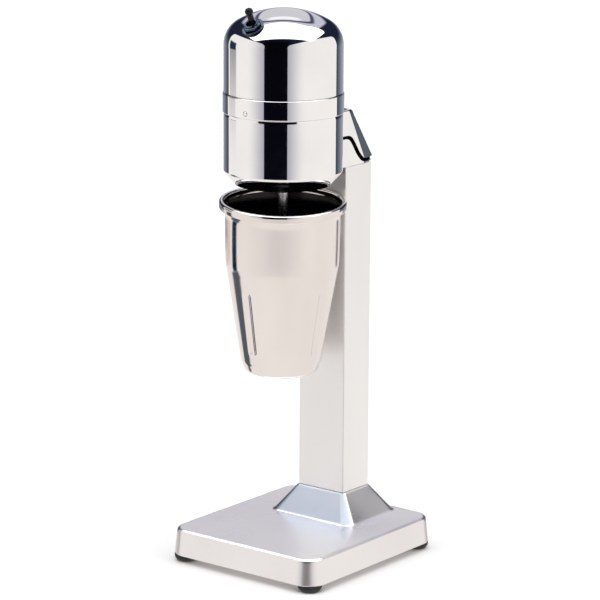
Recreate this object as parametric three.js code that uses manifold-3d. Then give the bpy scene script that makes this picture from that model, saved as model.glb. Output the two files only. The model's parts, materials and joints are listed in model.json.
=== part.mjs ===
// Milkshake mixer: a cast base, a rectangular column and a round motor head that hangs a metal cup.
// Millimetres, +Z up, -Y is the front, and the origin is on the floor under the middle of the base.
import * as THREE from 'three';
import { mergeVertices } from 'three/addons/utils/BufferGeometryUtils.js';
import Module from 'manifold-3d';

const wasm = await Module();
wasm.setup();

// ---------------------------------------------------------------- driving dimensions
const GAP = 0.3;                  // clearance between pieces that touch
const ROUND = 40;                 // sides of the large round pieces
const SMALL_ROUND = 16;           // sides of screws, feet and bearings

const BASE_WIDTH = 163;
const BASE_DEPTH = 181;
const BASE_CORNER = 18;
const BASE_BOTTOM = 6.3;          // the casting stands this high on its feet
const BASE_TOP = 30;
const BASE_DRAFT = 2;             // how far each side leans in on the way up
const BASE_EDGE = 3.5;            // rounding of the top edge
const BASE_WALL = 4.5;

const FOOT_X = 69;
const FOOT_Y = 78;
const FOOT_RADIUS = 10.4;

const COLUMN_WIDTH = 50;
const COLUMN_DEPTH = 37.3;
const COLUMN_Y = 45.15;           // middle of the column, behind the middle of the base
const COLUMN_WALL = 2.5;
const COLUMN_BOTTOM = 53.7;
const COLUMN_TOP = 348.3;
const PYRAMID_WIDTH = 89;
const PYRAMID_DEPTH = 72;

const AXIS_Y = -29.6;             // upright axis shared by the head, the agitator and the cup
const HEAD_RADIUS = 51.2;
const HEAD_WALL = 2.5;
const HEAD_BOTTOM = 340;
const HEAD_CHAMFER_TOP = 351.4;
const HEAD_FLOOR_RADIUS = 41.9;
const BAND_RADIUS = 52;
const BAND_BOTTOM = 402.6;
const BAND_TOP = 419.3;
const SEAM = 0.4;                 // visible line between two covers of the head
const SPIGOT_OUTER = 49.2;        // the band's inner rims that centre the housing and the dome
const SPIGOT_INNER = 47.4;
const SPIGOT_REACH = 4.7;
const BAND_SCREW_Z = 407;
const DOME_WALL = 1.5;
const DOME_STRAIGHT_TOP = 460;
const DOME_SHOULDER = 23.9;       // radius of the dome's rounded shoulder
const DOME_APEX = 491;
const SHAFT_HOLE = 7.2;           // radius of the hole in the housing's floor
const BEARING_SEAT = 11.3;
const BEARING_BOSS = 14.5;
const BEARING_LOW = 345;
const BEARING_HIGH = 352;

const NECK_TOP = 398.6;
const NECK_REAR_TOP = 35.5;       // y of the neck's back at its top
const NECK_REAR_BOTTOM = 70.5;
const NECK_SHELF = 351.3;
const NECK_HOOD_WIDTH = 52.6;

const SHAFT_RADIUS = 4;
const SPINDLE_RADIUS = 4.2;
const SPINDLE_BOTTOM = 203.5;
const STACK_BOTTOM = 375;         // laminated stack of the motor
const STACK_TOP = 403;
const STATOR_RADIUS = 42;
const STATOR_BORE = 20.5;
const ARMATURE_RADIUS = 19.5;
const MOTOR_BOLT_Y = 31;
const BRACKET_BOTTOM = 430;
const BRACKET_TOP = 433;
const BRUSH_Z = 420;

// Heights of the cup are those it would have if it hung straight.
const CUP_BOTTOM = 173.2;
const CUP_FOOT_RADIUS = 33.4;
const CUP_HEEL = 183.5;           // the tapered wall starts here
const CUP_HEEL_RADIUS = 35.5;
const CUP_SHOULDER = 266;
const CUP_SHOULDER_RADIUS = 48.5;
const CUP_NECK = 313.5;
const CUP_NECK_RADIUS = 49.7;
const CUP_LIP = 325.5;
const CUP_LIP_RADIUS = 51.8;
const CUP_BEAD_RADIUS = 55.1;
const CUP_BEAD_BOTTOM = 318.4;
const CUP_WALL = 0.9;
const CUP_LEAN = THREE.MathUtils.degToRad(3.7);           // the hung cup's foot swings back to the column
const CUP_LEAN_TOWARDS = THREE.MathUtils.degToRad(45);    // its lip leans this far round from front to right
const HOLDER_TOP = 319.6;
const HOLDER_BOTTOM = 285;
const HOLDER_HALF_WIDTH = 17;
const HOLDER_CUP_RADIUS = 52.2;   // the holder is hollowed to this radius round the head's axis
const HOOK_RADIUS = 52.3;
const HOOK_WALL = 0.9;
const HOOK_HEIGHT = 2.6;          // the hook stands this far above the shelf, inside the rolled rim
const PAD_FRONT = 51.6;           // how far behind the head's axis the rest pad's face is
const HEAD_TO_COLUMN = COLUMN_Y - COLUMN_DEPTH / 2 - AXIS_Y;    // from that axis to the column's front

const SWITCH_RADIAL = 41.6;       // how far in front of the head's axis the switch sits
const SWITCH_Z = 478.8;
const SWITCH_TILT = THREE.MathUtils.degToRad(37.3);
const LEVER_TILT = THREE.MathUtils.degToRad(-13.5);
const LEVER_PIVOT = -3;           // along the switch's own axis, from the dome's surface
const LEVER_LENGTH = 18;
const BUSHING_RADIUS = 5.9;

const mixer = new THREE.Group();
const head = new THREE.Group();
head.position.y = AXIS_Y;
mixer.add(head);

// ---------------------------------------------------------------- materials
function finish(color, roughness, metalness) {
  return { color, roughness, metalness };
}
const CHROME = finish(0xe8ebf0, 0.05, 1);
const POLISHED_STEEL = finish(0xd9d4d1, 0.14, 1);
const SATIN_ALUMINIUM = finish(0xdedcda, 0.45, 0.9);
const CAST_ALUMINIUM = finish(0xd0cfd3, 0.3, 0.9);
const ZINC_STEEL = finish(0xb8bac0, 0.35, 1);
const BLACK_RUBBER = finish(0x141416, 0.8, 0);
const BLACK_PLASTIC = finish(0x1b1b1e, 0.5, 0);
const LAMINATION = finish(0x6e7178, 0.6, 0.8);
const COPPER = finish(0xb5622f, 0.35, 1);
const CARBON = finish(0x26272a, 0.7, 0.2);
const BRASS = finish(0xc2a052, 0.35, 1);
const LEAD_SHEATH = finish(0x2a2b2e, 0.6, 0);
const FAN_PLASTIC = finish(0xe9e5d8, 0.5, 0);

// ---------------------------------------------------------------- helpers
// Merges shared corners, drops empty triangles and turns every face outwards.
function closed(geometry) {
  const bare = geometry.clone();
  bare.deleteAttribute('normal');
  bare.deleteAttribute('uv');
  const merged = mergeVertices(bare, 1e-4);
  const corner = merged.getIndex().array;
  const kept = [];
  for (let i = 0; i < corner.length; i += 3) {
    const [a, b, c] = [corner[i], corner[i + 1], corner[i + 2]];
    if (a !== b && b !== c && c !== a) kept.push(a, b, c);
  }
  const at = merged.getAttribute('position');
  const [p, q, r] = [new THREE.Vector3(), new THREE.Vector3(), new THREE.Vector3()];
  let volume = 0;
  for (let i = 0; i < kept.length; i += 3) {
    p.fromBufferAttribute(at, kept[i]);
    q.fromBufferAttribute(at, kept[i + 1]);
    r.fromBufferAttribute(at, kept[i + 2]);
    volume += p.dot(q.cross(r));
  }
  merged.setIndex(volume < 0 ? kept.reverse() : kept);
  return merged;
}

function solid(geometry) {
  const shape = closed(geometry);
  return new wasm.Manifold(new wasm.Mesh({
    numProp: 3,
    vertProperties: new Float32Array(shape.getAttribute('position').array),
    triVerts: new Uint32Array(shape.getIndex().array),
  }));
}

function geometryOf(manifold) {
  const mesh = manifold.getMesh();
  const geometry = new THREE.BufferGeometry();
  geometry.setAttribute('position', new THREE.BufferAttribute(new Float32Array(mesh.vertProperties), 3));
  geometry.setIndex(new THREE.BufferAttribute(new Uint32Array(mesh.triVerts), 1));
  return geometry;
}

function join(first, ...rest) {
  return geometryOf(rest.reduce((whole, piece) => whole.add(solid(piece)), solid(first)));
}

function cut(body, ...tools) {
  return geometryOf(tools.reduce((whole, tool) => whole.subtract(solid(tool)), solid(body)));
}

function common(first, second) {
  return geometryOf(solid(first).intersect(solid(second)));
}

// Adds one named piece to a group.
function piece(group, name, geometry, material) {
  const shape = closed(geometry);
  shape.computeVertexNormals();
  const mesh = new THREE.Mesh(shape, new THREE.MeshStandardMaterial(material));
  mesh.name = name;
  group.add(mesh);
  return mesh;
}

// Turns a profile of [radius, height] points about the Z axis.
function turned(profile, sides = SMALL_ROUND) {
  const points = profile.map(([radius, height]) => new THREE.Vector2(radius, height));
  return new THREE.LatheGeometry(points, sides).rotateX(Math.PI / 2);
}

// Turns a profile that closes on itself, for a piece with a hole along its axis.
function ring(profile, sides = SMALL_ROUND) {
  return turned([...profile, profile[0]], sides);
}

function rod(radius, low, high, sides = SMALL_ROUND) {
  return turned([[0, low], [radius, low], [radius, high], [0, high]], sides);
}

function tube(inner, outer, low, high, sides = SMALL_ROUND) {
  return ring([[inner, low], [outer, low], [outer, high], [inner, high]], sides);
}

// A rod along Y, from one y to another, at the given x and z.
function crossRod(radius, x, z, from, to, sides = SMALL_ROUND) {
  return rod(radius, from, to, sides).rotateX(-Math.PI / 2).translate(x, 0, z);
}

function block(lowX, highX, lowY, highY, lowZ, highZ) {
  const box = new THREE.BoxGeometry(highX - lowX, highY - lowY, highZ - lowZ);
  return box.translate((lowX + highX) / 2, (lowY + highY) / 2, (lowZ + highZ) / 2);
}

// Points of a rectangle with rounded corners at one height.
function roundedOutline(width, depth, corner, z, middleY = 0, steps = 5) {
  const points = [];
  for (let quarter = 0; quarter < 4; quarter += 1) {
    const x = (quarter === 0 || quarter === 3 ? 1 : -1) * (width / 2 - corner);
    const y = (quarter < 2 ? 1 : -1) * (depth / 2 - corner) + middleY;
    for (let step = 0; step <= steps; step += 1) {
      const angle = (quarter + step / steps) * Math.PI / 2;
      points.push(new THREE.Vector3(x + corner * Math.cos(angle), y + corner * Math.sin(angle), z));
    }
  }
  return points;
}

// Skins a stack of convex outlines that all have the same number of points.
function lofted(outlines) {
  const count = outlines[0].length;
  const index = [];
  for (let level = 0; level < outlines.length - 1; level += 1) {
    for (let i = 0; i < count; i += 1) {
      const a = level * count + i;
      const b = level * count + (i + 1) % count;
      index.push(a, b, a + count, b, b + count, a + count);
    }
  }
  const top = (outlines.length - 1) * count;
  for (let i = 1; i < count - 1; i += 1) {
    index.push(0, i + 1, i);
    index.push(top, top + i, top + i + 1);
  }
  const geometry = new THREE.BufferGeometry().setFromPoints(outlines.flat());
  geometry.setIndex(index);
  return geometry;
}

// Extrudes an outline of [y, z] points across the middle plane, to the given total width.
function sideProfile(points, width) {
  const shape = new THREE.Shape(points.map(([y, z]) => new THREE.Vector2(y, z)));
  const geometry = new THREE.ExtrudeGeometry(shape, { depth: width, bevelEnabled: false });
  // The shape's own X, Y and depth become the mixer's Y, Z and X.
  const turn = new THREE.Matrix4().makeBasis(
    new THREE.Vector3(0, 1, 0),
    new THREE.Vector3(0, 0, 1),
    new THREE.Vector3(1, 0, 0),
  );
  return geometry.applyMatrix4(turn).translate(-width / 2, 0, 0);
}

// Repeats a callback for the four corners of the base.
function eachCorner(make) {
  for (const [side, sign] of [['left', -1], ['right', 1]]) {
    make(`front_${side}`, sign * FOOT_X, -FOOT_Y);
    make(`rear_${side}`, sign * FOOT_X, FOOT_Y);
  }
}

// ---------------------------------------------------------------- base
const TIE_ROD_RADIUS = 3;
const LEAD_RADIUS = 2.4;
const LEAD_X = 13;
const LEAD_HOLE = 5;
const INLET_X = 30;
const INLET_Z = 16;

function baseOuter() {
  const draft = 2 * BASE_DRAFT;
  const levels = [
    [BASE_BOTTOM, 0],
    [BASE_TOP - BASE_EDGE, draft],
    [BASE_TOP - BASE_EDGE * 0.3, draft + BASE_EDGE * 0.6],
    [BASE_TOP, draft + BASE_EDGE * 2],
  ];
  return lofted(levels.map(([z, inset]) => roundedOutline(
    BASE_WIDTH - inset, BASE_DEPTH - inset, BASE_CORNER - inset / 2, z)));
}

function pyramid(shrink, low, high) {
  return lofted([
    roundedOutline(PYRAMID_WIDTH - shrink, PYRAMID_DEPTH - shrink, 5, low, COLUMN_Y, 2),
    roundedOutline(COLUMN_WIDTH + 2.4 - shrink, COLUMN_DEPTH + 2.4 - shrink, 2.5, high, COLUMN_Y, 2),
  ]);
}

function baseCasting() {
  const inset = 2 * BASE_WALL;
  const hollow = lofted([
    roundedOutline(BASE_WIDTH - inset, BASE_DEPTH - inset, BASE_CORNER - BASE_WALL, BASE_BOTTOM - 1),
    roundedOutline(
      BASE_WIDTH - inset - 2 * BASE_DRAFT,
      BASE_DEPTH - inset - 2 * BASE_DRAFT,
      BASE_CORNER - BASE_WALL - BASE_DRAFT,
      BASE_TOP - BASE_WALL,
    ),
  ]);
  const pyramidHollow = pyramid(2.5 * BASE_WALL, BASE_TOP - BASE_WALL - 1, COLUMN_BOTTOM - BASE_WALL - 1);
  const shell = cut(join(baseOuter(), pyramid(0, BASE_TOP - 1, COLUMN_BOTTOM)), hollow, pyramidHollow);
  const plug = block(-21.5, 21.5, COLUMN_Y - 15.2, COLUMN_Y + 15.2, COLUMN_BOTTOM - 2, COLUMN_BOTTOM + 6);
  const bosses = [];
  const holes = [];
  eachCorner((corner, x, y) => {
    bosses.push(rod(7.5, BASE_BOTTOM, BASE_TOP - BASE_WALL + 1, 16).translate(x, y, 0));
    holes.push(rod(2.1, BASE_BOTTOM - 1, 20, 12).translate(x, y, 0));
  });
  holes.push(rod(TIE_ROD_RADIUS + GAP, 30, 70, 16).translate(0, COLUMN_Y, 0));
  holes.push(rod(LEAD_HOLE, 30, 70, 16).translate(LEAD_X, COLUMN_Y, 0));
  holes.push(crossRod(6.4, INLET_X, INLET_Z, 75, 95));
  holes.push(crossRod(8.6, INLET_X, INLET_Z, 87.6, 95));
  return cut(join(shell, plug, ...bosses), ...holes);
}

function footShape() {
  const top = BASE_BOTTOM - GAP;
  return ring([
    [4.2, 0], [8.2, 0], [9.6, 1.4], [FOOT_RADIUS, 3.6], [FOOT_RADIUS, top], [2.2, top], [2.2, 3], [4.2, 3],
  ]);
}

function footScrewShape() {
  return turned([[0, 0.8], [3.7, 0.8], [3.7, 2.7], [1.8, 2.7], [1.8, 17], [0, 18.5]], 12);
}

function makeBase() {
  piece(mixer, 'base_casting', baseCasting(), CAST_ALUMINIUM);
  eachCorner((corner, x, y) => {
    piece(mixer, `foot_${corner}`, footShape(), BLACK_RUBBER).position.set(x, y, 0);
    piece(mixer, `foot_screw_${corner}`, footScrewShape(), ZINC_STEEL).position.set(x, y, 0);
  });
  const grommet = ring([
    [3.4, 82.3], [7.6, 82.3], [7.6, 83.8], [6, 83.8], [6, 87.9], [8.2, 87.9], [8.2, 89.6], [6.4, 90.3],
    [3.4, 90.3],
  ]).rotateX(-Math.PI / 2).translate(INLET_X, 0, INLET_Z);
  piece(mixer, 'cable_grommet', grommet, BLACK_RUBBER);
}

// ---------------------------------------------------------------- column and neck
const HOLDER_SCREW_X = 11;
const HOLDER_SCREW_Z = 297;
const NECK_SCREW_HEIGHTS = { lower: 363, upper: 388 };
const LEAD_INTO_HEAD_Z = 376;
const ROD_TOP = 360;

function columnTube() {
  const low = COLUMN_BOTTOM + GAP;
  const outer = [low, COLUMN_TOP].map((z) => roundedOutline(COLUMN_WIDTH, COLUMN_DEPTH, 1.2, z, COLUMN_Y, 2));
  const inner = [low - 1, COLUMN_TOP + 1].map((z) => roundedOutline(
    COLUMN_WIDTH - 2 * COLUMN_WALL, COLUMN_DEPTH - 2 * COLUMN_WALL, 0.8, z, COLUMN_Y, 1));
  const front = AXIS_Y + HEAD_TO_COLUMN;
  const screwHoles = [-1, 1].map((side) => crossRod(
    2.4, side * HOLDER_SCREW_X, HOLDER_SCREW_Z, front - 5, front + 5, 12));
  return cut(lofted(outer), lofted(inner), ...screwHoles);
}

// The back of the neck slopes down to the column and its corners get rounder on the way.
function neckWedge(width, low) {
  const levels = [low, NECK_SHELF, 363, 375, 387, NECK_TOP];
  return lofted(levels.map((z) => {
    const rise = Math.max(0, (z - NECK_SHELF) / (NECK_TOP - NECK_SHELF));
    const rear = THREE.MathUtils.lerp(NECK_REAR_BOTTOM, NECK_REAR_TOP, rise);
    const corner = THREE.MathUtils.lerp(11, 3, rise);
    const outline = roundedOutline(width, 2 * (rear - 5), corner, z, 5);
    return outline.map((point) => point.setY(Math.max(point.y, 8)));
  }));
}

function neckCasting() {
  const low = COLUMN_TOP + GAP;
  const body = common(
    neckWedge(COLUMN_WIDTH, low),
    sideProfile([[5, low], [64, low], [72, NECK_SHELF], [72, 405], [5, 405]], 60),
  );
  const hood = cut(
    neckWedge(NECK_HOOD_WIDTH, low),
    sideProfile([
      [0, 340], [80, 340], [80, NECK_SHELF], [56, NECK_SHELF], [50, 352.6], [44, 358],
      [36, 369], [32, 373.2], [28, 374.8], [0, 374.8],
    ], 60),
  );
  const spigot = block(-22, 22, COLUMN_Y - 15.6, COLUMN_Y + 15.6, 332, low + 1);
  const saddle = rod(HEAD_RADIUS + 2 * GAP, 300, 420, 96).translate(0, AXIS_Y, 0);
  const holes = [
    rod(TIE_ROD_RADIUS + GAP, 320, ROD_TOP + 2, 16).translate(0, COLUMN_Y, 0),
    rod(LEAD_HOLE, 320, LEAD_INTO_HEAD_Z + 3, 16).translate(LEAD_X, COLUMN_Y, 0),
    crossRod(LEAD_HOLE, LEAD_X, LEAD_INTO_HEAD_Z, 0, COLUMN_Y, 16),
    ...Object.values(NECK_SCREW_HEIGHTS).map((z) => crossRod(2.5, 0, z, 0, 36, 12)),
  ];
  return cut(join(body, hood, spigot), saddle, ...holes);
}

function supplyLead() {
  const route = new THREE.CatmullRomCurve3([
    [INLET_X, 79, INLET_Z], [INLET_X, 72, INLET_Z], [20, 56, 19], [LEAD_X, COLUMN_Y, 34],
    [LEAD_X, COLUMN_Y, 60], [LEAD_X, COLUMN_Y, 150], [LEAD_X, COLUMN_Y, 250], [LEAD_X, COLUMN_Y, 345],
    [LEAD_X, COLUMN_Y, 368], [LEAD_X, 42.6, 374.6], [LEAD_X, 36, LEAD_INTO_HEAD_Z],
    [LEAD_X, 28, LEAD_INTO_HEAD_Z], [LEAD_X, 18, LEAD_INTO_HEAD_Z], [LEAD_X, 12.6, 379],
    [LEAD_X, 11, 388], [LEAD_X, 11, 408], [LEAD_X, 10, 426], [LEAD_X, 4, 440],
  ].map((point) => new THREE.Vector3(...point)), false, 'centripetal');
  const section = new THREE.Shape();
  section.absarc(0, 0, LEAD_RADIUS, 0, 2 * Math.PI);
  const along = { steps: 44, curveSegments: 4, bevelEnabled: false, extrudePath: route };
  return new THREE.ExtrudeGeometry(section, along);
}

function makeColumn() {
  piece(mixer, 'column_tube', columnTube(), SATIN_ALUMINIUM);
  piece(mixer, 'neck_casting', neckCasting(), CHROME);
  const shelf = COLUMN_BOTTOM - BASE_WALL - 1;
  const tieRod = rod(TIE_ROD_RADIUS, 33, ROD_TOP, 12);
  piece(mixer, 'tie_rod', tieRod, ZINC_STEEL).position.y = COLUMN_Y;
  const washer = tube(TIE_ROD_RADIUS + GAP, 7, shelf - GAP - 1.6, shelf - GAP, 16);
  piece(mixer, 'tie_rod_washer', washer, ZINC_STEEL).position.y = COLUMN_Y;
  const nut = tube(TIE_ROD_RADIUS + 2 * GAP, 5.8, shelf - 7.2, shelf - 2 * GAP - 1.6, 6);
  piece(mixer, 'tie_rod_nut', nut, ZINC_STEEL).position.y = COLUMN_Y;
  piece(mixer, 'supply_lead', supplyLead(), LEAD_SHEATH);
}

// ---------------------------------------------------------------- cup holder
function cupHolder() {
  const back = HEAD_TO_COLUMN - GAP;
  const [half, wall] = [HOLDER_HALF_WIDTH, 2.2];
  const plate = block(-half, half, back - wall, back, HOLDER_BOTTOM, HOLDER_TOP);
  const shelf = block(-half, half, 44, back - 1, HOLDER_TOP - 3, HOLDER_TOP);
  const cheeks = [-half, half - wall].map((low) => block(
    low, low + wall, 46, back - 1, HOLDER_TOP - 9, HOLDER_TOP - 1));
  const hook = common(
    tube(HOOK_RADIUS, HOOK_RADIUS + HOOK_WALL, HOLDER_TOP - 1, HOLDER_TOP + HOOK_HEIGHT, ROUND),
    block(-half, half, 40, 60, HOLDER_TOP - 5, HOLDER_TOP + 5),
  );
  const cupSpace = rod(HOLDER_CUP_RADIUS, HOLDER_BOTTOM - 5, HOLDER_TOP + 5, ROUND);
  const holes = [-1, 1].map((side) => crossRod(2.4, side * HOLDER_SCREW_X, HOLDER_SCREW_Z, 45, 60, 12));
  return cut(join(cut(join(plate, shelf, ...cheeks), cupSpace), hook), ...holes);
}

function makeCupHolder() {
  piece(head, 'cup_holder', cupHolder(), POLISHED_STEEL);
  const plateFront = HEAD_TO_COLUMN - 2.2 - GAP;
  for (const [side, sign] of [['left', -1], ['right', 1]]) {
    const screw = turned([
      [0, plateFront - 1.4], [3.4, plateFront - 1.4], [4, plateFront - 0.8], [4, plateFront - GAP],
      [2, plateFront - GAP], [2, plateFront + 8], [0, plateFront + 9],
    ], 12).rotateX(-Math.PI / 2).translate(sign * HOLDER_SCREW_X, 0, HOLDER_SCREW_Z);
    piece(head, `cup_holder_screw_${side}`, screw, ZINC_STEEL);
  }
  const pad = block(-9, 9, PAD_FRONT, HEAD_TO_COLUMN - GAP, 261, 274);
  piece(head, 'cup_rest_pad', pad, BLACK_RUBBER);
}

// ---------------------------------------------------------------- covers of the head
function motorHousing() {
  const floor = HEAD_BOTTOM + 4;
  const inner = HEAD_RADIUS - HEAD_WALL;
  const top = BAND_BOTTOM - SEAM;
  const seat = SPIGOT_OUTER + SEAM;
  const shell = ring([
    [SHAFT_HOLE, HEAD_BOTTOM], [HEAD_FLOOR_RADIUS, HEAD_BOTTOM], [HEAD_RADIUS, HEAD_CHAMFER_TOP],
    [HEAD_RADIUS, top], [seat, top], [seat, top - SPIGOT_REACH], [inner, top - SPIGOT_REACH],
    [inner, HEAD_CHAMFER_TOP + 1.2], [HEAD_FLOOR_RADIUS - 1, floor], [BEARING_BOSS, floor],
    [BEARING_BOSS, BEARING_HIGH], [BEARING_SEAT, BEARING_HIGH], [BEARING_SEAT, BEARING_LOW],
    [SHAFT_HOLE, BEARING_LOW],
  ], ROUND);
  const holes = [
    ...Object.values(NECK_SCREW_HEIGHTS).map((z) => crossRod(2.6, 0, z, 40, 60, 12)),
    crossRod(LEAD_HOLE, LEAD_X, LEAD_INTO_HEAD_Z, 40, 60, 16),
    ...[-1, 1].map((side) => rod(2.4, 341.4, 350, 12).translate(0, side * MOTOR_BOLT_Y, 0)),
  ];
  return cut(shell, ...holes);
}

function trimBand() {
  const band = ring([
    [BAND_RADIUS - 0.4, BAND_BOTTOM], [BAND_RADIUS, BAND_BOTTOM + 0.5], [BAND_RADIUS, BAND_TOP - 0.5],
    [BAND_RADIUS - 0.4, BAND_TOP], [SPIGOT_OUTER, BAND_TOP], [SPIGOT_OUTER, BAND_TOP + SPIGOT_REACH],
    [SPIGOT_INNER, BAND_TOP + SPIGOT_REACH], [SPIGOT_INNER, BAND_BOTTOM - SPIGOT_REACH + 0.1],
    [SPIGOT_OUTER, BAND_BOTTOM - SPIGOT_REACH + 0.1], [SPIGOT_OUTER, BAND_BOTTOM],
  ], ROUND);
  return cut(band, crossRod(2.2, 0, BAND_SCREW_Z, -60, -40, 12));
}

// Straight wall, rounded shoulder and shallow crown, as [radius, height] from the bottom to the apex.
function domeProfile(offset) {
  const shoulderX = HEAD_RADIUS - DOME_SHOULDER;
  const drop = DOME_STRAIGHT_TOP - DOME_APEX;
  const crown = -(shoulderX ** 2 + drop ** 2 - DOME_SHOULDER ** 2) / (2 * (drop + DOME_SHOULDER));
  const crownZ = DOME_APEX - crown;
  const meet = Math.atan2(DOME_STRAIGHT_TOP - crownZ, shoulderX);
  const points = [[HEAD_RADIUS + offset, BAND_TOP + SEAM]];
  const shoulderSteps = 5;
  for (let i = 0; i <= shoulderSteps; i += 1) {
    const angle = meet * i / shoulderSteps;
    const radius = DOME_SHOULDER + offset;
    points.push([shoulderX + radius * Math.cos(angle), DOME_STRAIGHT_TOP + radius * Math.sin(angle)]);
  }
  const crownSteps = 3;
  for (let i = 1; i <= crownSteps; i += 1) {
    const angle = THREE.MathUtils.lerp(meet, Math.PI / 2, i / crownSteps);
    const radius = crown + offset;
    points.push([i === crownSteps ? 0 : radius * Math.cos(angle), crownZ + radius * Math.sin(angle)]);
  }
  return points;
}

function atSwitch(geometry) {
  return geometry.rotateX(SWITCH_TILT).translate(0, -SWITCH_RADIAL, SWITCH_Z);
}

function domeCover() {
  const shell = turned([...domeProfile(-DOME_WALL).reverse(), ...domeProfile(0)], ROUND);
  return cut(shell, atSwitch(rod(BUSHING_RADIUS + 2 * GAP, -15, 15)));
}

function makeHeadCovers() {
  piece(head, 'motor_housing', motorHousing(), CHROME);
  piece(head, 'trim_band', trimBand(), CHROME);
  piece(head, 'dome_cover', domeCover(), CHROME);
  const bandScrew = turned([
    [0, -52.5], [1.5, -52.5], [1.9, -52.1], [1.9, -50.8], [1.4, -50.8], [1.4, -45], [0, -45],
  ], 12);
  piece(head, 'band_screw', bandScrew.rotateX(-Math.PI / 2).translate(0, 0, BAND_SCREW_Z), CHROME);
  for (const [place, z] of Object.entries(NECK_SCREW_HEIGHTS)) {
    const inner = HEAD_RADIUS - HEAD_WALL - 0.2;
    const screw = turned([
      [0, inner - 3.4], [3.6, inner - 3.4], [4, inner - 2.6], [4, inner - GAP],
      [2.1, inner - GAP], [2.1, 63], [0, 64],
    ], 12).rotateX(-Math.PI / 2).translate(0, 0, z);
    piece(head, `neck_screw_${place}`, screw, ZINC_STEEL);
  }
  const seal = ring([
    [4.9, 333], [8.4, 333], [9.8, 335.5], [9.8, HEAD_BOTTOM - GAP], [6.8, HEAD_BOTTOM - GAP],
    [6.8, 344.2], [4.9, 344.2],
  ]);
  piece(head, 'splash_seal', seal, BLACK_RUBBER);
}

// ---------------------------------------------------------------- toggle switch
function makeSwitch() {
  const socket = new THREE.Group();
  socket.position.set(0, -SWITCH_RADIAL, SWITCH_Z);
  socket.rotation.x = SWITCH_TILT;
  head.add(socket);
  piece(socket, 'switch_body', block(-6.5, 6.5, -10, 10, -27, -5.7), BLACK_PLASTIC);
  piece(socket, 'switch_bushing', tube(4.3, BUSHING_RADIUS, -5.3, 5.4), CHROME);
  piece(socket, 'switch_washer', tube(BUSHING_RADIUS + GAP, 9.8, GAP, 1.7), ZINC_STEEL);
  const hexagon = turned([[0, 2], [7.8, 2], [8.6, 2.6], [8.6, 4], [7.8, 4.6], [0, 4.6]], 6);
  piece(socket, 'switch_nut', cut(hexagon, rod(BUSHING_RADIUS + GAP, 0, 6)), CHROME);
  const lever = turned([
    [0, -2], [1.4, -1.5], [2, 0], [1.8, 1.6], [1.8, 8.4], [2.5, 10.6], [2.7, LEVER_LENGTH - 2.3],
    [3.5, LEVER_LENGTH], [2.7, LEVER_LENGTH + 2.3], [1.3, LEVER_LENGTH + 3.25], [0, LEVER_LENGTH + 3.5],
  ], 16);
  const toggle = piece(socket, 'toggle_lever', lever, BLACK_PLASTIC);
  toggle.position.z = LEVER_PIVOT;
  toggle.rotation.x = LEVER_TILT;
}

// ---------------------------------------------------------------- motor, still pieces
function statorCore() {
  const disc = common(
    rod(STATOR_RADIUS, STACK_BOTTOM, STACK_TOP, 40),
    block(-50, 50, -36, 36, STACK_BOTTOM - 5, STACK_TOP + 5),
  );
  const pockets = [];
  for (const x of [-1, 1]) {
    for (const y of [-1, 1]) {
      pockets.push(block(
        Math.min(x * 12, x * 31), Math.max(x * 12, x * 31),
        Math.min(y * 13, y * 25), Math.max(y * 13, y * 25), STACK_BOTTOM - 5, STACK_TOP + 5,
      ));
    }
  }
  const bore = rod(STATOR_BORE, STACK_BOTTOM - 5, STACK_TOP + 5, 32);
  const bolts = [-1, 1].map((side) => rod(2.5, 370, 410, 12).translate(0, side * MOTOR_BOLT_Y, 0));
  return cut(disc, bore, ...pockets, ...bolts);
}

// A coil loops round its pole: two legs in the pockets and two turns past the stack.
function fieldCoil(side) {
  const middle = (STACK_BOTTOM + STACK_TOP) / 2;
  const halfStack = (STACK_TOP - STACK_BOTTOM) / 2;
  const loop = (halfWidth, halfHeight, corner, z) => roundedOutline(2 * halfWidth, 2 * halfHeight, corner, z, 0, 3);
  const outer = [0, 9].map((z) => loop(24.5, halfStack + 8.6, 7, z));
  const inner = [-1, 10].map((z) => loop(13.4, halfStack + 0.5, 0.6, z));
  const coil = cut(lofted(outer), lofted(inner));
  // Stands the flat loop up so that its own X, Y and Z point along Y, Z and X.
  coil.rotateX(Math.PI / 2).rotateZ(Math.PI / 2);
  return coil.translate(side > 0 ? 21.5 : -30.5, 0, middle);
}

function upperBracket() {
  const leg = (side) => rod(5, STACK_TOP + GAP, BRACKET_TOP, 16).translate(0, side * MOTOR_BOLT_Y, 0);
  const body = join(
    block(-8, 8, -36, 36, BRACKET_BOTTOM, BRACKET_TOP),
    block(-36, 36, -8, 8, BRACKET_BOTTOM, BRACKET_TOP),
    rod(13, BRACKET_BOTTOM, 441, 24),
    leg(-1),
    leg(1),
  );
  return cut(
    body,
    rod(9.9, BRACKET_TOP + 0.2, 450, 24),
    rod(5, 420, 440, 16),
    ...[-1, 1].map((side) => rod(2.4, 400, 440, 12).translate(0, side * MOTOR_BOLT_Y, 0)),
  );
}

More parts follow.
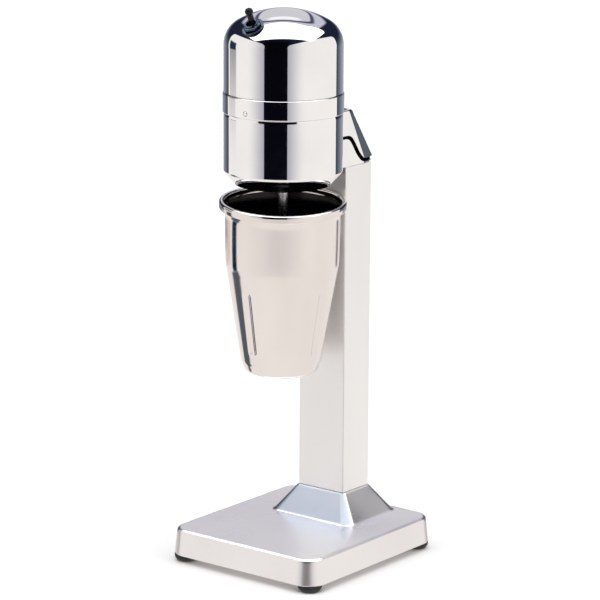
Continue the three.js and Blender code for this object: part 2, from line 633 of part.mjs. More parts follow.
function brushGear(side, sign) {
  const mirrored = (low, high, ...rest) => {
    const [left, right] = sign < 0 ? [-high, -low] : [low, high];
    return block(left, right, ...rest);
  };
  const holder = cut(
    mirrored(13, 35.5, -6, 6, BRUSH_Z - 6, BRACKET_BOTTOM - GAP),
    mirrored(10, 33.8, -3.4, 3.4, BRUSH_Z - 4.4, BRUSH_Z + 4.4),
  );
  piece(head, `brush_holder_${side}`, holder, BRASS);
  piece(head, `carbon_brush_${side}`, mirrored(11.5, 24, -3, 3, BRUSH_Z - 4, BRUSH_Z + 4), CARBON);
  class Helix extends THREE.Curve {
    getPoint(t, target = new THREE.Vector3()) {
      const angle = 2 * Math.PI * 3 * t;
      return target.set(sign * (24.8 + 8.2 * t), 2.3 * Math.cos(angle), BRUSH_Z + 2.3 * Math.sin(angle));
    }
  }
  const wire = new THREE.Shape();
  wire.absarc(0, 0, 0.45, 0, 2 * Math.PI);
  const along = { steps: 27, curveSegments: 3, bevelEnabled: false, extrudePath: new Helix() };
  piece(head, `brush_spring_${side}`, new THREE.ExtrudeGeometry(wire, along), ZINC_STEEL);
}

function makeStator() {
  piece(head, 'stator_core', statorCore(), LAMINATION);
  piece(head, 'field_coil_left', fieldCoil(-1), COPPER);
  piece(head, 'field_coil_right', fieldCoil(1), COPPER);
  piece(head, 'upper_bracket', upperBracket(), CAST_ALUMINIUM);
  const lowerBearing = tube(SHAFT_RADIUS + GAP, BEARING_SEAT - GAP, BEARING_LOW + GAP, BEARING_HIGH);
  piece(head, 'lower_bearing', lowerBearing, ZINC_STEEL);
  piece(head, 'upper_bearing', tube(SHAFT_RADIUS + GAP, 9.5, 433.5, 440.5), ZINC_STEEL);
  brushGear('left', -1);
  brushGear('right', 1);
  for (const [place, sign] of [['front', -1], ['rear', 1]]) {
    const y = sign * MOTOR_BOLT_Y;
    const bolt = turned([
      [0, 342], [2, 342], [2, BRACKET_TOP + GAP], [3.8, BRACKET_TOP + GAP], [3.8, 436.4], [0, 436.4],
    ], 12);
    piece(head, `motor_bolt_${place}`, bolt, ZINC_STEEL).position.y = y;
    const spacer = tube(2.4, 4.4, HEAD_BOTTOM + 4 + GAP, STACK_BOTTOM - GAP, 12);
    piece(head, `motor_spacer_${place}`, spacer, ZINC_STEEL).position.y = y;
  }
  const can = rod(6, -10, 10, 16).rotateX(Math.PI / 2).translate(24, 0, BRACKET_TOP + GAP + 6);
  piece(head, 'suppressor_capacitor', can, BLACK_PLASTIC);
}

// ---------------------------------------------------------------- motor, turning pieces
function armatureCore() {
  const teeth = 12;
  const slotRadius = 14;
  const toothPoints = [
    [-0.36, ARMATURE_RADIUS], [0, ARMATURE_RADIUS], [0.36, ARMATURE_RADIUS],
    [0.42, slotRadius], [0.58, slotRadius],
  ];
  const outline = [];
  for (let tooth = 0; tooth < teeth; tooth += 1) {
    for (const [turn, radius] of toothPoints) {
      const angle = (tooth + turn) * 2 * Math.PI / teeth;
      outline.push(new THREE.Vector2(radius * Math.cos(angle), radius * Math.sin(angle)));
    }
  }
  const shape = new THREE.Shape(outline);
  const bore = new THREE.Path();
  bore.absarc(0, 0, SHAFT_RADIUS + GAP, 0, 2 * Math.PI, true);
  shape.holes.push(bore);
  const depth = STACK_TOP - STACK_BOTTOM;
  return new THREE.ExtrudeGeometry(shape, { depth, bevelEnabled: false, curveSegments: 16 })
    .translate(0, 0, STACK_BOTTOM);
}

function coolingFan() {
  const blades = [];
  const count = 8;
  for (let i = 0; i < count; i += 1) {
    blades.push(block(6, 24.5, -0.6, 0.6, 356.4, 363).rotateZ(i * 2 * Math.PI / count));
  }
  return cut(join(rod(25, 355, 356.6, 32), rod(7, 355, 363.4), ...blades), rod(SHAFT_RADIUS + GAP, 350, 370));
}

function makeRotor() {
  const shaft = turned([
    [0, 357], [2.5, 357], [2.5, 345.2], [SHAFT_RADIUS, 345.2], [SHAFT_RADIUS, 443.4], [3.4, 444], [0, 444],
  ]);
  piece(head, 'armature_shaft', shaft, ZINC_STEEL);
  piece(head, 'armature_core', armatureCore(), LAMINATION);
  const winding = (z, up) => ring([
    [5, z], [16, z], [17.6, z + up * 3], [16, z + up * 6.6], [11, z + up * 8.2], [5, z + up * 8.2],
  ]);
  piece(head, 'armature_winding_lower', winding(STACK_BOTTOM - GAP, -1), COPPER);
  piece(head, 'armature_winding_upper', winding(STACK_TOP + GAP, 1), COPPER);
  piece(head, 'commutator', tube(SHAFT_RADIUS + GAP, 11, 413, 427), COPPER);
  piece(head, 'cooling_fan', coolingFan(), FAN_PLASTIC);
  const spindle = turned([
    [0, 194], [2.3, 194], [2.3, SPINDLE_BOTTOM], [SPINDLE_RADIUS, SPINDLE_BOTTOM],
    [SPINDLE_RADIUS, 344.8], [2.1, 344.8], [2.1, 354.6], [0, 354.6],
  ]);
  piece(head, 'agitator_shaft', spindle, POLISHED_STEEL);
  piece(head, 'agitator_disc', agitatorDisc(), POLISHED_STEEL);
  const capNut = turned([
    [0, 189.4], [3.4, 190.4], [4.9, 192.4], [4.9, 199.6], [2.7, 199.6], [2.7, 193.4], [0, 193.4],
  ], 6);
  piece(head, 'agitator_nut', capNut, POLISHED_STEEL);
}

// A flat disc with a scalloped edge that draws air into the drink.
function agitatorDisc() {
  const outline = [];
  const sides = 48;
  for (let i = 0; i < sides; i += 1) {
    const angle = i * 2 * Math.PI / sides;
    const radius = 14 + 1.2 * Math.cos(8 * angle);
    outline.push(new THREE.Vector2(radius * Math.cos(angle), radius * Math.sin(angle)));
  }
  const shape = new THREE.Shape(outline);
  const bore = new THREE.Path();
  bore.absarc(0, 0, 2.7, 0, 2 * Math.PI, true);
  shape.holes.push(bore);
  return new THREE.ExtrudeGeometry(shape, { depth: 3.2, bevelEnabled: false, curveSegments: 12 })
    .translate(0, 0, SPINDLE_BOTTOM - GAP - 3.2);
}

// ---------------------------------------------------------------- cup
// Swings the hung cup about the middle of its lip.
function leaning(geometry) {
  const hinge = new THREE.Vector3(Math.cos(CUP_LEAN_TOWARDS), Math.sin(CUP_LEAN_TOWARDS), 0);
  const swing = new THREE.Matrix4().makeRotationAxis(hinge, CUP_LEAN);
  return geometry.translate(0, 0, -CUP_LIP).applyMatrix4(swing).translate(0, 0, CUP_LIP);
}

// One sheet of steel: flat bottom, tapered wall, straight neck and a rim rolled outwards and down.
function mixingCup() {
  const floor = CUP_BOTTOM + CUP_WALL;
  const inside = [
    [0, floor], [CUP_FOOT_RADIUS - CUP_WALL - 2.5, floor], [CUP_FOOT_RADIUS - CUP_WALL, floor + 2],
    [CUP_HEEL_RADIUS - CUP_WALL, CUP_HEEL], [CUP_SHOULDER_RADIUS - CUP_WALL, CUP_SHOULDER],
    [CUP_NECK_RADIUS - CUP_WALL, CUP_NECK], [CUP_LIP_RADIUS - CUP_WALL, CUP_LIP - 5],
    [CUP_LIP_RADIUS - CUP_WALL, CUP_LIP],
  ];
  const rim = [
    [CUP_LIP_RADIUS + 0.4, CUP_LIP], [CUP_BEAD_RADIUS - 0.7, CUP_LIP - 1.4], [CUP_BEAD_RADIUS, CUP_LIP - 3.2],
    [CUP_BEAD_RADIUS - 0.2, CUP_BEAD_BOTTOM], [CUP_BEAD_RADIUS - 1.1, CUP_BEAD_BOTTOM],
    [CUP_BEAD_RADIUS - 1.2, CUP_LIP - 3.2], [CUP_LIP_RADIUS, CUP_LIP - 2.6],
  ];
  const outside = [
    [CUP_LIP_RADIUS, CUP_LIP - 5.4], [CUP_NECK_RADIUS, CUP_NECK], [CUP_SHOULDER_RADIUS, CUP_SHOULDER],
    [CUP_HEEL_RADIUS, CUP_HEEL], [CUP_FOOT_RADIUS, CUP_BOTTOM + 2.4], [CUP_FOOT_RADIUS - 2.4, CUP_BOTTOM],
    [0, CUP_BOTTOM],
  ];
  return leaning(turned([...inside, ...rim, ...outside], ROUND));
}

makeBase();
makeColumn();
makeCupHolder();
makeHeadCovers();
makeSwitch();
makeStator();
makeRotor();
piece(head, 'mixing_cup', mixingCup(), POLISHED_STEEL);

export default mixer;
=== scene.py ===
"""Milkshake mixer: the finished surfaces, materials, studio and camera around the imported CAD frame.

Lengths in the helpers are millimetres in the mixer's own frame and become metres when a mesh is made.
"""
import json
import math

import bmesh
import bpy
from mathutils import Euler, Matrix, Quaternion, Vector


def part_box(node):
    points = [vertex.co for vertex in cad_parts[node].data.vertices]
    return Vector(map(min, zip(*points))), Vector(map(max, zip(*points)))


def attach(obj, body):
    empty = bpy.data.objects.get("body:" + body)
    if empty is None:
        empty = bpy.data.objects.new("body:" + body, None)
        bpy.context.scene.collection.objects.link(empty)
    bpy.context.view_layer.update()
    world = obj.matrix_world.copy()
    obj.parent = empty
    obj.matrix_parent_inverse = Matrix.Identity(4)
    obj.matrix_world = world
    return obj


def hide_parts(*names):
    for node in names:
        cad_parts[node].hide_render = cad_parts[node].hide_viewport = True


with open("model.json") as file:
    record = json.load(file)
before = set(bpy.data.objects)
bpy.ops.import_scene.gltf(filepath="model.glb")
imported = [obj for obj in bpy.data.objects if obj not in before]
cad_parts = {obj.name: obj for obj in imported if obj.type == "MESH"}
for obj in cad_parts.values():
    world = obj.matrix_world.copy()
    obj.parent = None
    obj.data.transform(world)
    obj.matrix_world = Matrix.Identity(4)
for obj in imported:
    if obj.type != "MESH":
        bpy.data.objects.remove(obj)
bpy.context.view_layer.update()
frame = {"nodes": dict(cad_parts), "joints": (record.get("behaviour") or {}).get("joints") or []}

MM = 0.001
GAP = 0.3                 # clearance between pieces that touch
SEAM = 0.4                # visible line between two covers of the head
SIDES = 192               # steps round a large turned piece
SMALL_SIDES = 64          # steps round screws, feet and rods


def node_box(node):
    """A CAD node's lowest and highest corner in millimetres."""
    low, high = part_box(node)
    return low / MM, high / MM


def node_middle(node):
    """The middle of a CAD node's box in millimetres."""
    low, high = node_box(node)
    return (low + high) / 2


# ---------------------------------------------------------------- dimensions
HOUSING_LOW, HOUSING_HIGH = node_box("motor_housing")
DOME_LOW, DOME_HIGH = node_box("dome_cover")
BAND_LOW, BAND_HIGH = node_box("trim_band")
COLUMN_LOW, COLUMN_HIGH = node_box("column_tube")
BASE_LOW, BASE_HIGH = node_box("base_casting")

AXIS = Vector((0, (HOUSING_LOW.y + HOUSING_HIGH.y) / 2, 0))
HEAD_RADIUS = HOUSING_HIGH.x
BAND_RADIUS = BAND_HIGH.x
BAND_BOTTOM = HOUSING_HIGH.z + SEAM
BAND_TOP = DOME_LOW.z - SEAM
COLUMN_MIDDLE = (COLUMN_LOW.y + COLUMN_HIGH.y) / 2
COLUMN_WIDTH = COLUMN_HIGH.x - COLUMN_LOW.x
COLUMN_DEPTH = COLUMN_HIGH.y - COLUMN_LOW.y
BASE_WIDTH = BASE_HIGH.x - BASE_LOW.x
BASE_DEPTH = BASE_HIGH.y - BASE_LOW.y


# ---------------------------------------------------------------- mesh helpers
def arc(middle, radius, start, stop, steps=8):
    """Points of a circular arc in a profile plane; angles in degrees from the first axis."""
    points = []
    for step in range(steps + 1):
        angle = math.radians(start + (stop - start) * step / steps)
        points.append((middle[0] + radius * math.cos(angle), middle[1] + radius * math.sin(angle)))
    return points


def rounded_path(points, radii, steps=6, guard=0.0):
    """A closed path with each corner replaced by an arc; radius 0 keeps the corner.

    A guard adds a point that far before and after each arc, so that smooth shading keeps the sides straight.
    """
    result = []
    count = len(points)
    for i, point in enumerate(points):
        here = Vector(point)
        before = Vector(points[i - 1]) - here
        after = Vector(points[(i + 1) % count]) - here
        radius = radii[i]
        if radius <= 0:
            result.append(tuple(here))
            continue
        half = before.angle(after) / 2
        reach = radius / math.tan(half)
        first = here + before.normalized() * reach
        last = here + after.normalized() * reach
        middle = here + (before.normalized() + after.normalized()).normalized() * radius / math.sin(half)
        from_middle, to_middle = first - middle, last - middle
        sweep = from_middle.angle(to_middle)
        if guard:
            result.append(tuple(first + before.normalized() * guard))
        for step in range(steps + 1):
            share = step / steps
            blend = (from_middle * math.sin((1 - share) * sweep) + to_middle * math.sin(share * sweep))
            result.append(tuple(middle + blend / math.sin(sweep)))
        if guard:
            result.append(tuple(last + after.normalized() * guard))
    return result


def turned(profile, sides=SIDES, shift=None):
    """Turns [radius, height] points about the Z axis. A profile that starts off the axis closes on itself.
    shift(angle, radius, height) may give another radius, for pressed or scalloped walls."""
    bm = bmesh.new()
    rings = []
    for radius, height in profile:
        if radius < 1e-6:
            rings.append([bm.verts.new((0, 0, height))])
            continue
        ring = []
        for side in range(sides):
            angle = 2 * math.pi * side / sides
            out = shift(angle, radius, height) if shift else radius
            ring.append(bm.verts.new((out * math.cos(angle), out * math.sin(angle), height)))
        rings.append(ring)
    if len(rings[0]) > 1:
        rings.append(rings[0])
    for low, high in zip(rings, rings[1:]):
        for side in range(sides):
            after = (side + 1) % sides
            corners = [low[side % len(low)], low[after % len(low)]]
            corners += [high[after % len(high)], high[side % len(high)]]
            kept = list(dict.fromkeys(corners))
            if len(kept) > 2:
                bm.faces.new(kept)
    bmesh.ops.recalc_face_normals(bm, faces=bm.faces)
    return bm


def lofted(rings, capped=True, looped=False):
    """Skins a stack of closed outlines that have the same number of points."""
    bm = bmesh.new()
    levels = [[bm.verts.new(point) for point in ring] for ring in rings]
    pairs = list(zip(levels, levels[1:]))
    if looped:
        pairs.append((levels[-1], levels[0]))
    for low, high in pairs:
        for i in range(len(low)):
            after = (i + 1) % len(low)
            bm.faces.new((low[i], low[after], high[after], high[i]))
    if capped and not looped:
        bm.faces.new(reversed(levels[0]))
        bm.faces.new(levels[-1])
    bmesh.ops.recalc_face_normals(bm, faces=bm.faces)
    return bm


def rectangle(width, depth, corner, z, middle_y=0.0, steps=8):
    """A rectangle with round corners at one height. A point on the straight beside each end of a corner
    keeps the sides flat under smooth shading."""
    guard = 0.4
    points = []
    for quarter in range(4):
        side_x = 1 if quarter in (0, 3) else -1
        side_y = 1 if quarter < 2 else -1
        middle = (side_x * (width / 2 - corner), side_y * (depth / 2 - corner) + middle_y)
        corner_points = arc(middle, corner, 90 * quarter, 90 * quarter + 90, steps)
        before = math.radians(90 * quarter + 90)
        after = math.radians(90 * quarter + 180)
        first, last = corner_points[0], corner_points[-1]
        points.append((first[0] - guard * math.cos(before), first[1] - guard * math.sin(before), z))
        points += [(x, y, z) for x, y in corner_points]
        points.append((last[0] + guard * math.cos(after), last[1] + guard * math.sin(after), z))
    return points


def box(low, high):
    bm = bmesh.new()
    bmesh.ops.create_cube(bm, size=1)
    low, high = Vector(low), Vector(high)
    for vert in bm.verts:
        vert.co = Vector(((vert.co[i] + 0.5) * (high[i] - low[i]) + low[i] for i in range(3)))
    return bm


def moved(bm, move=(0, 0, 0), turn=(0, 0, 0)):
    """Turns by Euler degrees, then shifts by millimetres."""
    matrix = Matrix.Translation(Vector(move)) @ Euler([math.radians(a) for a in turn]).to_matrix().to_4x4()
    bmesh.ops.transform(bm, matrix=matrix, verts=bm.verts)
    return bm


def to_object(name, bm, *materials):
    """Makes a metre-sized object from a millimetre mesh."""
    bmesh.ops.scale(bm, vec=(MM, MM, MM), verts=bm.verts)
    mesh = bpy.data.meshes.new(name)
    bm.to_mesh(mesh)
    bm.free()
    for material in materials:
        mesh.materials.append(material)
    obj = bpy.data.objects.new(name, mesh)
    bpy.context.scene.collection.objects.link(obj)
    return obj


def baked(obj):
    """Replaces an object's mesh with what its modifiers make of it."""
    bpy.context.view_layer.update()
    evaluated = obj.evaluated_get(bpy.context.evaluated_depsgraph_get())
    obj.data = bpy.data.meshes.new_from_object(evaluated)
    obj.modifiers.clear()
    return obj


def carve(obj, tool, operation="DIFFERENCE"):
    """Cuts or joins a tool, then deletes it. A tool without a material leaves the object's own."""
    if isinstance(tool, bmesh.types.BMesh):
        tool = to_object(f"{obj.name}_tool", tool)
    if not tool.data.materials:
        tool.data.materials.append(obj.data.materials[0])
    modifier = obj.modifiers.new("boolean", "BOOLEAN")
    modifier.operation = operation
    modifier.solver = "EXACT"
    modifier.material_mode = "TRANSFER"
    modifier.object = tool
    baked(obj)
    bpy.data.objects.remove(tool)
    return obj


def rounded(obj, width, segments=3, angle=35):
    """Rounds every edge sharper than the angle."""
    modifier = obj.modifiers.new("edges", "BEVEL")
    modifier.width = width * MM
    modifier.segments = segments
    modifier.limit_method = "ANGLE"
    modifier.angle_limit = math.radians(angle)
    modifier.harden_normals = False
    return baked(obj)


def piece(obj, body, replaces, sharp=32):
    """Finishes one visible piece: smooth shading, CAD body and the CAD nodes it stands for."""
    obj.data.shade_smooth()
    obj.data.set_sharp_from_angle(angle=math.radians(sharp))
    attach(obj, body)
    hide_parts(*replaces)
    return obj


# ---------------------------------------------------------------- material helpers
class Shader:
    """A Principled material with short calls for its procedural nodes."""

    def __init__(self, name, colour, metallic, roughness, **sockets):
        self.material = bpy.data.materials.new(name)
        self.material.use_nodes = True
        self.nodes = self.material.node_tree.nodes
        self.links = self.material.node_tree.links
        self.main = self.nodes["Principled BSDF"]
        self.main.inputs["Base Color"].default_value = (*colour, 1)
        self.main.inputs["Metallic"].default_value = metallic
        self.main.inputs["Roughness"].default_value = roughness
        for socket, value in sockets.items():
            self.main.inputs[socket.replace("_", " ")].default_value = value
        place = self.nodes.new("ShaderNodeTexCoord")
        self.place = place.outputs["Object"]
        self.height = None

    def stretched(self, scale):
        """Object coordinates stretched by three factors, for grain with a direction."""
        mapping = self.nodes.new("ShaderNodeMapping")
        mapping.inputs["Scale"].default_value = scale
        self.links.new(self.place, mapping.inputs["Vector"])
        return mapping.outputs["Vector"]

    def noise(self, scale, detail=3.0, stretch=(1, 1, 1)):
        node = self.nodes.new("ShaderNodeTexNoise")
        node.inputs["Scale"].default_value = scale
        node.inputs["Detail"].default_value = detail
        self.links.new(self.stretched(stretch), node.inputs["Vector"])
        return node.outputs["Fac"]

    def bands(self, scale, direction="Z"):
        node = self.nodes.new("ShaderNodeTexWave")
        node.bands_direction = direction
        node.inputs["Scale"].default_value = scale
        self.links.new(self.place, node.inputs["Vector"])
        return node.outputs["Fac"]

    def spread(self, value, low, high, socket):
        """Drives a number on the shader from low to high as value goes from 0.3 to 0.7."""
        node = self.nodes.new("ShaderNodeMapRange")
        node.inputs["From Min"].default_value = 0.3
        node.inputs["From Max"].default_value = 0.7
        node.inputs["To Min"].default_value = low
        node.inputs["To Max"].default_value = high
        self.links.new(value, node.inputs["Value"])
        self.links.new(node.outputs["Result"], self.main.inputs[socket])
        return self

    def tint(self, value, low, high):
        """Varies the base colour between two colours."""
        node = self.nodes.new("ShaderNodeValToRGB")
        node.color_ramp.elements[0].position = 0.3
        node.color_ramp.elements[1].position = 0.7
        node.color_ramp.elements[0].color = (*low, 1)
        node.color_ramp.elements[1].color = (*high, 1)
        self.links.new(value, node.inputs["Fac"])
        self.links.new(node.outputs["Color"], self.main.inputs["Base Color"])
        return self

    def bump(self, value, depth, strength=1.0):
        """Adds relief of the given depth in millimetres."""
        node = self.nodes.new("ShaderNodeBump")
        node.inputs["Strength"].default_value = strength
        node.inputs["Distance"].default_value = depth * MM
        self.links.new(value, node.inputs["Height"])
        if self.height:
            self.links.new(self.height, node.inputs["Normal"])
        self.height = node.outputs["Normal"]
        self.links.new(self.height, self.main.inputs["Normal"])
        return self


def surface(name, dull, bright, patches, smooth, rough, grain, *, relief=None, depth=0.0, metallic=1.0,
            **sockets):
    """A material that varies between two colours and two roughnesses.

    Patches, grain and relief are each a noise: its scale, its detail and maybe its stretch. The relief's
    depth is in millimetres.
    """
    shader = Shader(name, bright, metallic, (smooth + rough) / 2, **sockets)
    shader.tint(shader.noise(*patches), dull, bright)
    shader.spread(shader.noise(*grain), smooth, rough, "Roughness")
    if relief:
        shader.bump(shader.noise(*relief), depth)
    return shader.material


def painted_groove_shadow():
    # Near-black with no shine: a painted shadow for the groove under the neck's hood.
    shader = Shader("groove_shadow", (0.002, 0.002, 0.003), 0.0, 0.5, Specular_IOR_Level=0.0)
    shader.spread(shader.noise(400, 2), 0.4, 0.6, "Roughness")
    return shader.material


def plastic(name, colour, shade):
    shader = Shader(name, colour, 0.0, 0.45)
    shader.tint(shader.noise(60, 3), shade, colour)
    shader.bump(shader.noise(1200, 2), 0.01)
    return shader.material


def sheet_stack():
    shader = Shader("lamination_stack", (0.18, 0.19, 0.21), 0.8, 0.5)
    layers = shader.bands(1000)
    shader.tint(layers, (0.08, 0.085, 0.1), (0.24, 0.25, 0.28))
    shader.bump(layers, 0.12)
    return shader.material


def wound_copper():
    shader = Shader("copper_winding", (0.55, 0.20, 0.07), 1.0, 0.3)
    strands = shader.bands(1400)
    shader.tint(strands, (0.30, 0.09, 0.03), (0.72, 0.30, 0.12))
    shader.bump(strands, 0.2)
    return shader.material


ROUND_CUP = (90, 5, (1, 1, 14))       # polishing marks that run round the cup
COLUMN_GRAIN = (900, 4, (1, 1, 0.012))

CHROME = surface("chrome_plate", (0.90, 0.91, 0.93), (0.95, 0.955, 0.96), (28, 2), 0.02, 0.05, (160, 4))
# The switch's washer, nut and barrel are chrome: their dark bluish colour is a painted reflection of the
# dark room around them.
SWITCH_DARK_REFLECTION = surface("switch_chrome_painted_dark_reflection", (0.012, 0.016, 0.028), (0.11, 0.14, 0.20), (500, 3),
                        0.06, 0.18, (500, 3))
CUP_STEEL = surface("cup_steel", (0.84, 0.80, 0.78), (0.89, 0.86, 0.84), (24, 3, (1, 1, 0.3)),
                    0.07, 0.13, ROUND_CUP, relief=(60, 4, (1, 1, 40)), depth=0.004)
# Near-black steel for the inside of the cup: painted shade for the dark inside under the head.
CUP_INSIDE_SHADE = surface("cup_inside_painted_shade", (0.018, 0.015, 0.018), (0.045, 0.038, 0.042), (30, 3, (1, 1, 0.2)),
                     0.2, 0.32, ROUND_CUP)
STIRRER = surface("stirrer_steel", (0.74, 0.77, 0.80), (0.86, 0.88, 0.90), (120, 3),
                  0.15, 0.22, (200, 3, (1, 1, 20)))
CASTING = surface("polished_casting", (0.88, 0.86, 0.89), (0.96, 0.945, 0.95), (9, 3),
                  0.25, 0.33, (14, 2), relief=(9, 1), depth=0.10)
# Duller and bluer than the casting: a painted reflection for the pyramid's front slope.
SLOPE_REFLECTION_CASTING = surface("casting_painted_slope_reflection", (0.40, 0.45, 0.54), (0.56, 0.58, 0.63), (9, 3),
                         0.33, 0.41, (14, 2), relief=(9, 1), depth=0.10)
ZINC = surface("zinc_plate", (0.60, 0.61, 0.64), (0.76, 0.77, 0.79), (200, 4), 0.24, 0.42, (400, 3))
CARBON = surface("carbon_block", (0.012, 0.012, 0.014), (0.03, 0.03, 0.034), (260, 4), 0.42, 0.78, (500, 3))
BRASS = surface("brass_holder", (0.50, 0.33, 0.10), (0.72, 0.52, 0.20), (260, 4), 0.21, 0.39, (500, 3))
COLUMN_SATIN = surface("satin_aluminium", (0.92, 0.918, 0.915), (0.96, 0.955, 0.95), (12, 2, (1, 1, 0.4)),
                       0.34, 0.46, COLUMN_GRAIN, relief=COLUMN_GRAIN, depth=0.006, metallic=0.8)
GROOVE_SHADOW = painted_groove_shadow()
RUBBER = surface("black_rubber", (0.008, 0.008, 0.009), (0.022, 0.022, 0.024), (150, 4),
                 0.5, 0.72, (90, 3), relief=(900, 3), depth=0.03, metallic=0.0)
BLACK_PLASTIC = plastic("black_plastic", (0.02, 0.02, 0.022), (0.012, 0.012, 0.013))
LEVER_BLACK = surface("lever_black", (0.004, 0.005, 0.008), (0.010, 0.012, 0.020), (400, 3),
                      0.16, 0.3, (500, 3), metallic=0.0, Specular_IOR_Level=0.2)
LEAD_SHEATH = plastic("lead_sheath", (0.03, 0.03, 0.033), (0.02, 0.02, 0.02))
FAN_PLASTIC = plastic("fan_plastic", (0.80, 0.77, 0.66), (0.70, 0.67, 0.57))
LAMINATION = sheet_stack()
COPPER = wound_copper()


# ---------------------------------------------------------------- base
BASE_TOP = 30.0
BASE_CORNER = 18.0
BASE_DRAFT = 2.0          # how far each side leans in on the way up
BASE_EDGE = 3.5           # rounding of the top edge
BASE_WALL = 4.5
PYRAMID_WIDTH = 89.0
PYRAMID_DEPTH = 72.0
PYRAMID_TOP = COLUMN_LOW.z - GAP
PYRAMID_FILLET = 4.0      # hollow rounding where the pyramid meets the base
LEDGE = 1.2               # the pyramid's top stands this far outside the column
PYRAMID_CORNER = 9.0      # corner radius at the pyramid's foot
PYRAMID_TOP_CORNER = 3.4
FOOT_RADIUS = 10.4
TIE_ROD_HOLE = 3.3
LEAD_HOLE = 5
LEAD_X = 13               # the lead runs this far to the right of the tie rod


def base_levels():
    """Outlines from the ceiling of the hollow, down inside, round the rim and up to the column's plug."""
    rings = []
    shelf = PYRAMID_TOP - BASE_WALL - 1
    ceiling = BASE_TOP - BASE_WALL
    inner_width = COLUMN_WIDTH + 2 * (LEDGE - BASE_WALL)
    inner_depth = COLUMN_DEPTH + 2 * (LEDGE - BASE_WALL)
    rings.append(rectangle(inner_width, inner_depth, 2, shelf, COLUMN_MIDDLE))
    slope = 2.5 * BASE_WALL
    rings.append(rectangle(PYRAMID_WIDTH - slope, PYRAMID_DEPTH - slope, 5, ceiling, COLUMN_MIDDLE))
    for inset, corner, z in ((BASE_WALL + BASE_DRAFT, 11.5, ceiling), (BASE_WALL, 13.5, BASE_LOW.z)):
        rings.append(rectangle(BASE_WIDTH - 2 * inset, BASE_DEPTH - 2 * inset, corner, z))
    low = BASE_LOW.z
    side = [(-0.8, low), (-0.25, low + 0.25), (0.0, low + 0.8), (-0.05, low + 1.4)]
    side.append((-BASE_DRAFT + 0.05, BASE_TOP - BASE_EDGE - 0.6))
    side += arc((-BASE_DRAFT - BASE_EDGE, BASE_TOP - BASE_EDGE), BASE_EDGE, 0, 90, 8)
    side.append((-BASE_DRAFT - BASE_EDGE - 0.6, BASE_TOP))
    for out, z in side:
        rings.append(rectangle(BASE_WIDTH + 2 * out, BASE_DEPTH + 2 * out, BASE_CORNER + out, z))
    rings += pyramid_levels()
    plug_width = COLUMN_WIDTH - 7
    plug_depth = COLUMN_DEPTH - 7
    for z in (PYRAMID_TOP, PYRAMID_TOP + 6):
        rings.append(rectangle(plug_width, plug_depth, 2, z, COLUMN_MIDDLE))
    return rings


def pyramid_levels():
    """The flared foot of the column: a hollow fillet, flat slopes and a rounded top edge."""
    rise = PYRAMID_TOP - BASE_TOP
    top_width, top_depth = COLUMN_WIDTH + 2 * LEDGE, COLUMN_DEPTH + 2 * LEDGE
    rings = []

    def ring(share, out, z):
        width = PYRAMID_WIDTH + (top_width - PYRAMID_WIDTH) * share
        depth = PYRAMID_DEPTH + (top_depth - PYRAMID_DEPTH) * share
        corner = PYRAMID_CORNER + (PYRAMID_TOP_CORNER - PYRAMID_CORNER) * share
        rings.append(rectangle(width + 2 * out, depth + 2 * out, max(corner + out, 1), z, COLUMN_MIDDLE))

    ring(0, PYRAMID_FILLET, BASE_TOP)
    steps = 8
    lean = math.degrees(math.atan2(rise, (PYRAMID_WIDTH - top_width) / 2))
    reach = PYRAMID_FILLET * math.tan(math.radians(lean / 2))
    for step in range(steps + 1):
        angle = math.radians(lean * step / steps)
        along = reach - PYRAMID_FILLET * math.sin(angle)
        height = PYRAMID_FILLET * (1 - math.cos(angle))
        share = height / rise
        # along is measured from the corner where the slope would meet the flat top.
        slope_in = share * (PYRAMID_WIDTH - top_width) / 2
        ring(share, along + slope_in, BASE_TOP + height)
    edge = 1.0
    for height in (PYRAMID_FILLET * 0.6, rise - edge - 0.5):
        ring(height / rise, 0, BASE_TOP + height)
    for step in range(5):
        angle = math.radians(90 * step / 4)
        share = (rise - edge * (1 - math.sin(angle))) / rise
        ring(share, -edge * 0.6 * (1 - math.cos(angle)), PYRAMID_TOP - edge * (1 - math.sin(angle)))
    return rings


def together(*meshes):
    """Puts several meshes into one, without joining their surfaces."""
    whole = bmesh.new()
    for part in meshes:
        holder = bpy.data.meshes.new("holder")
        part.to_mesh(holder)
        whole.from_mesh(holder)
        bpy.data.meshes.remove(holder)
        part.free()
    return whole


def rod(radius, low, high, sides=SMALL_SIDES):
    return turned([(0, low), (radius, low), (radius, high), (0, high)], sides)


def tube(inner, outer, low, high, sides=SIDES):
    return turned([(inner, low), (outer, low), (outer, high), (inner, high)], sides)


def feet():
    """Corner name, x and y of each foot, from the frame."""
    for end in ("front", "rear"):
        for side in ("left", "right"):
            middle = node_middle(f"foot_{end}_{side}")
            yield f"{end}_{side}", middle.x, middle.y


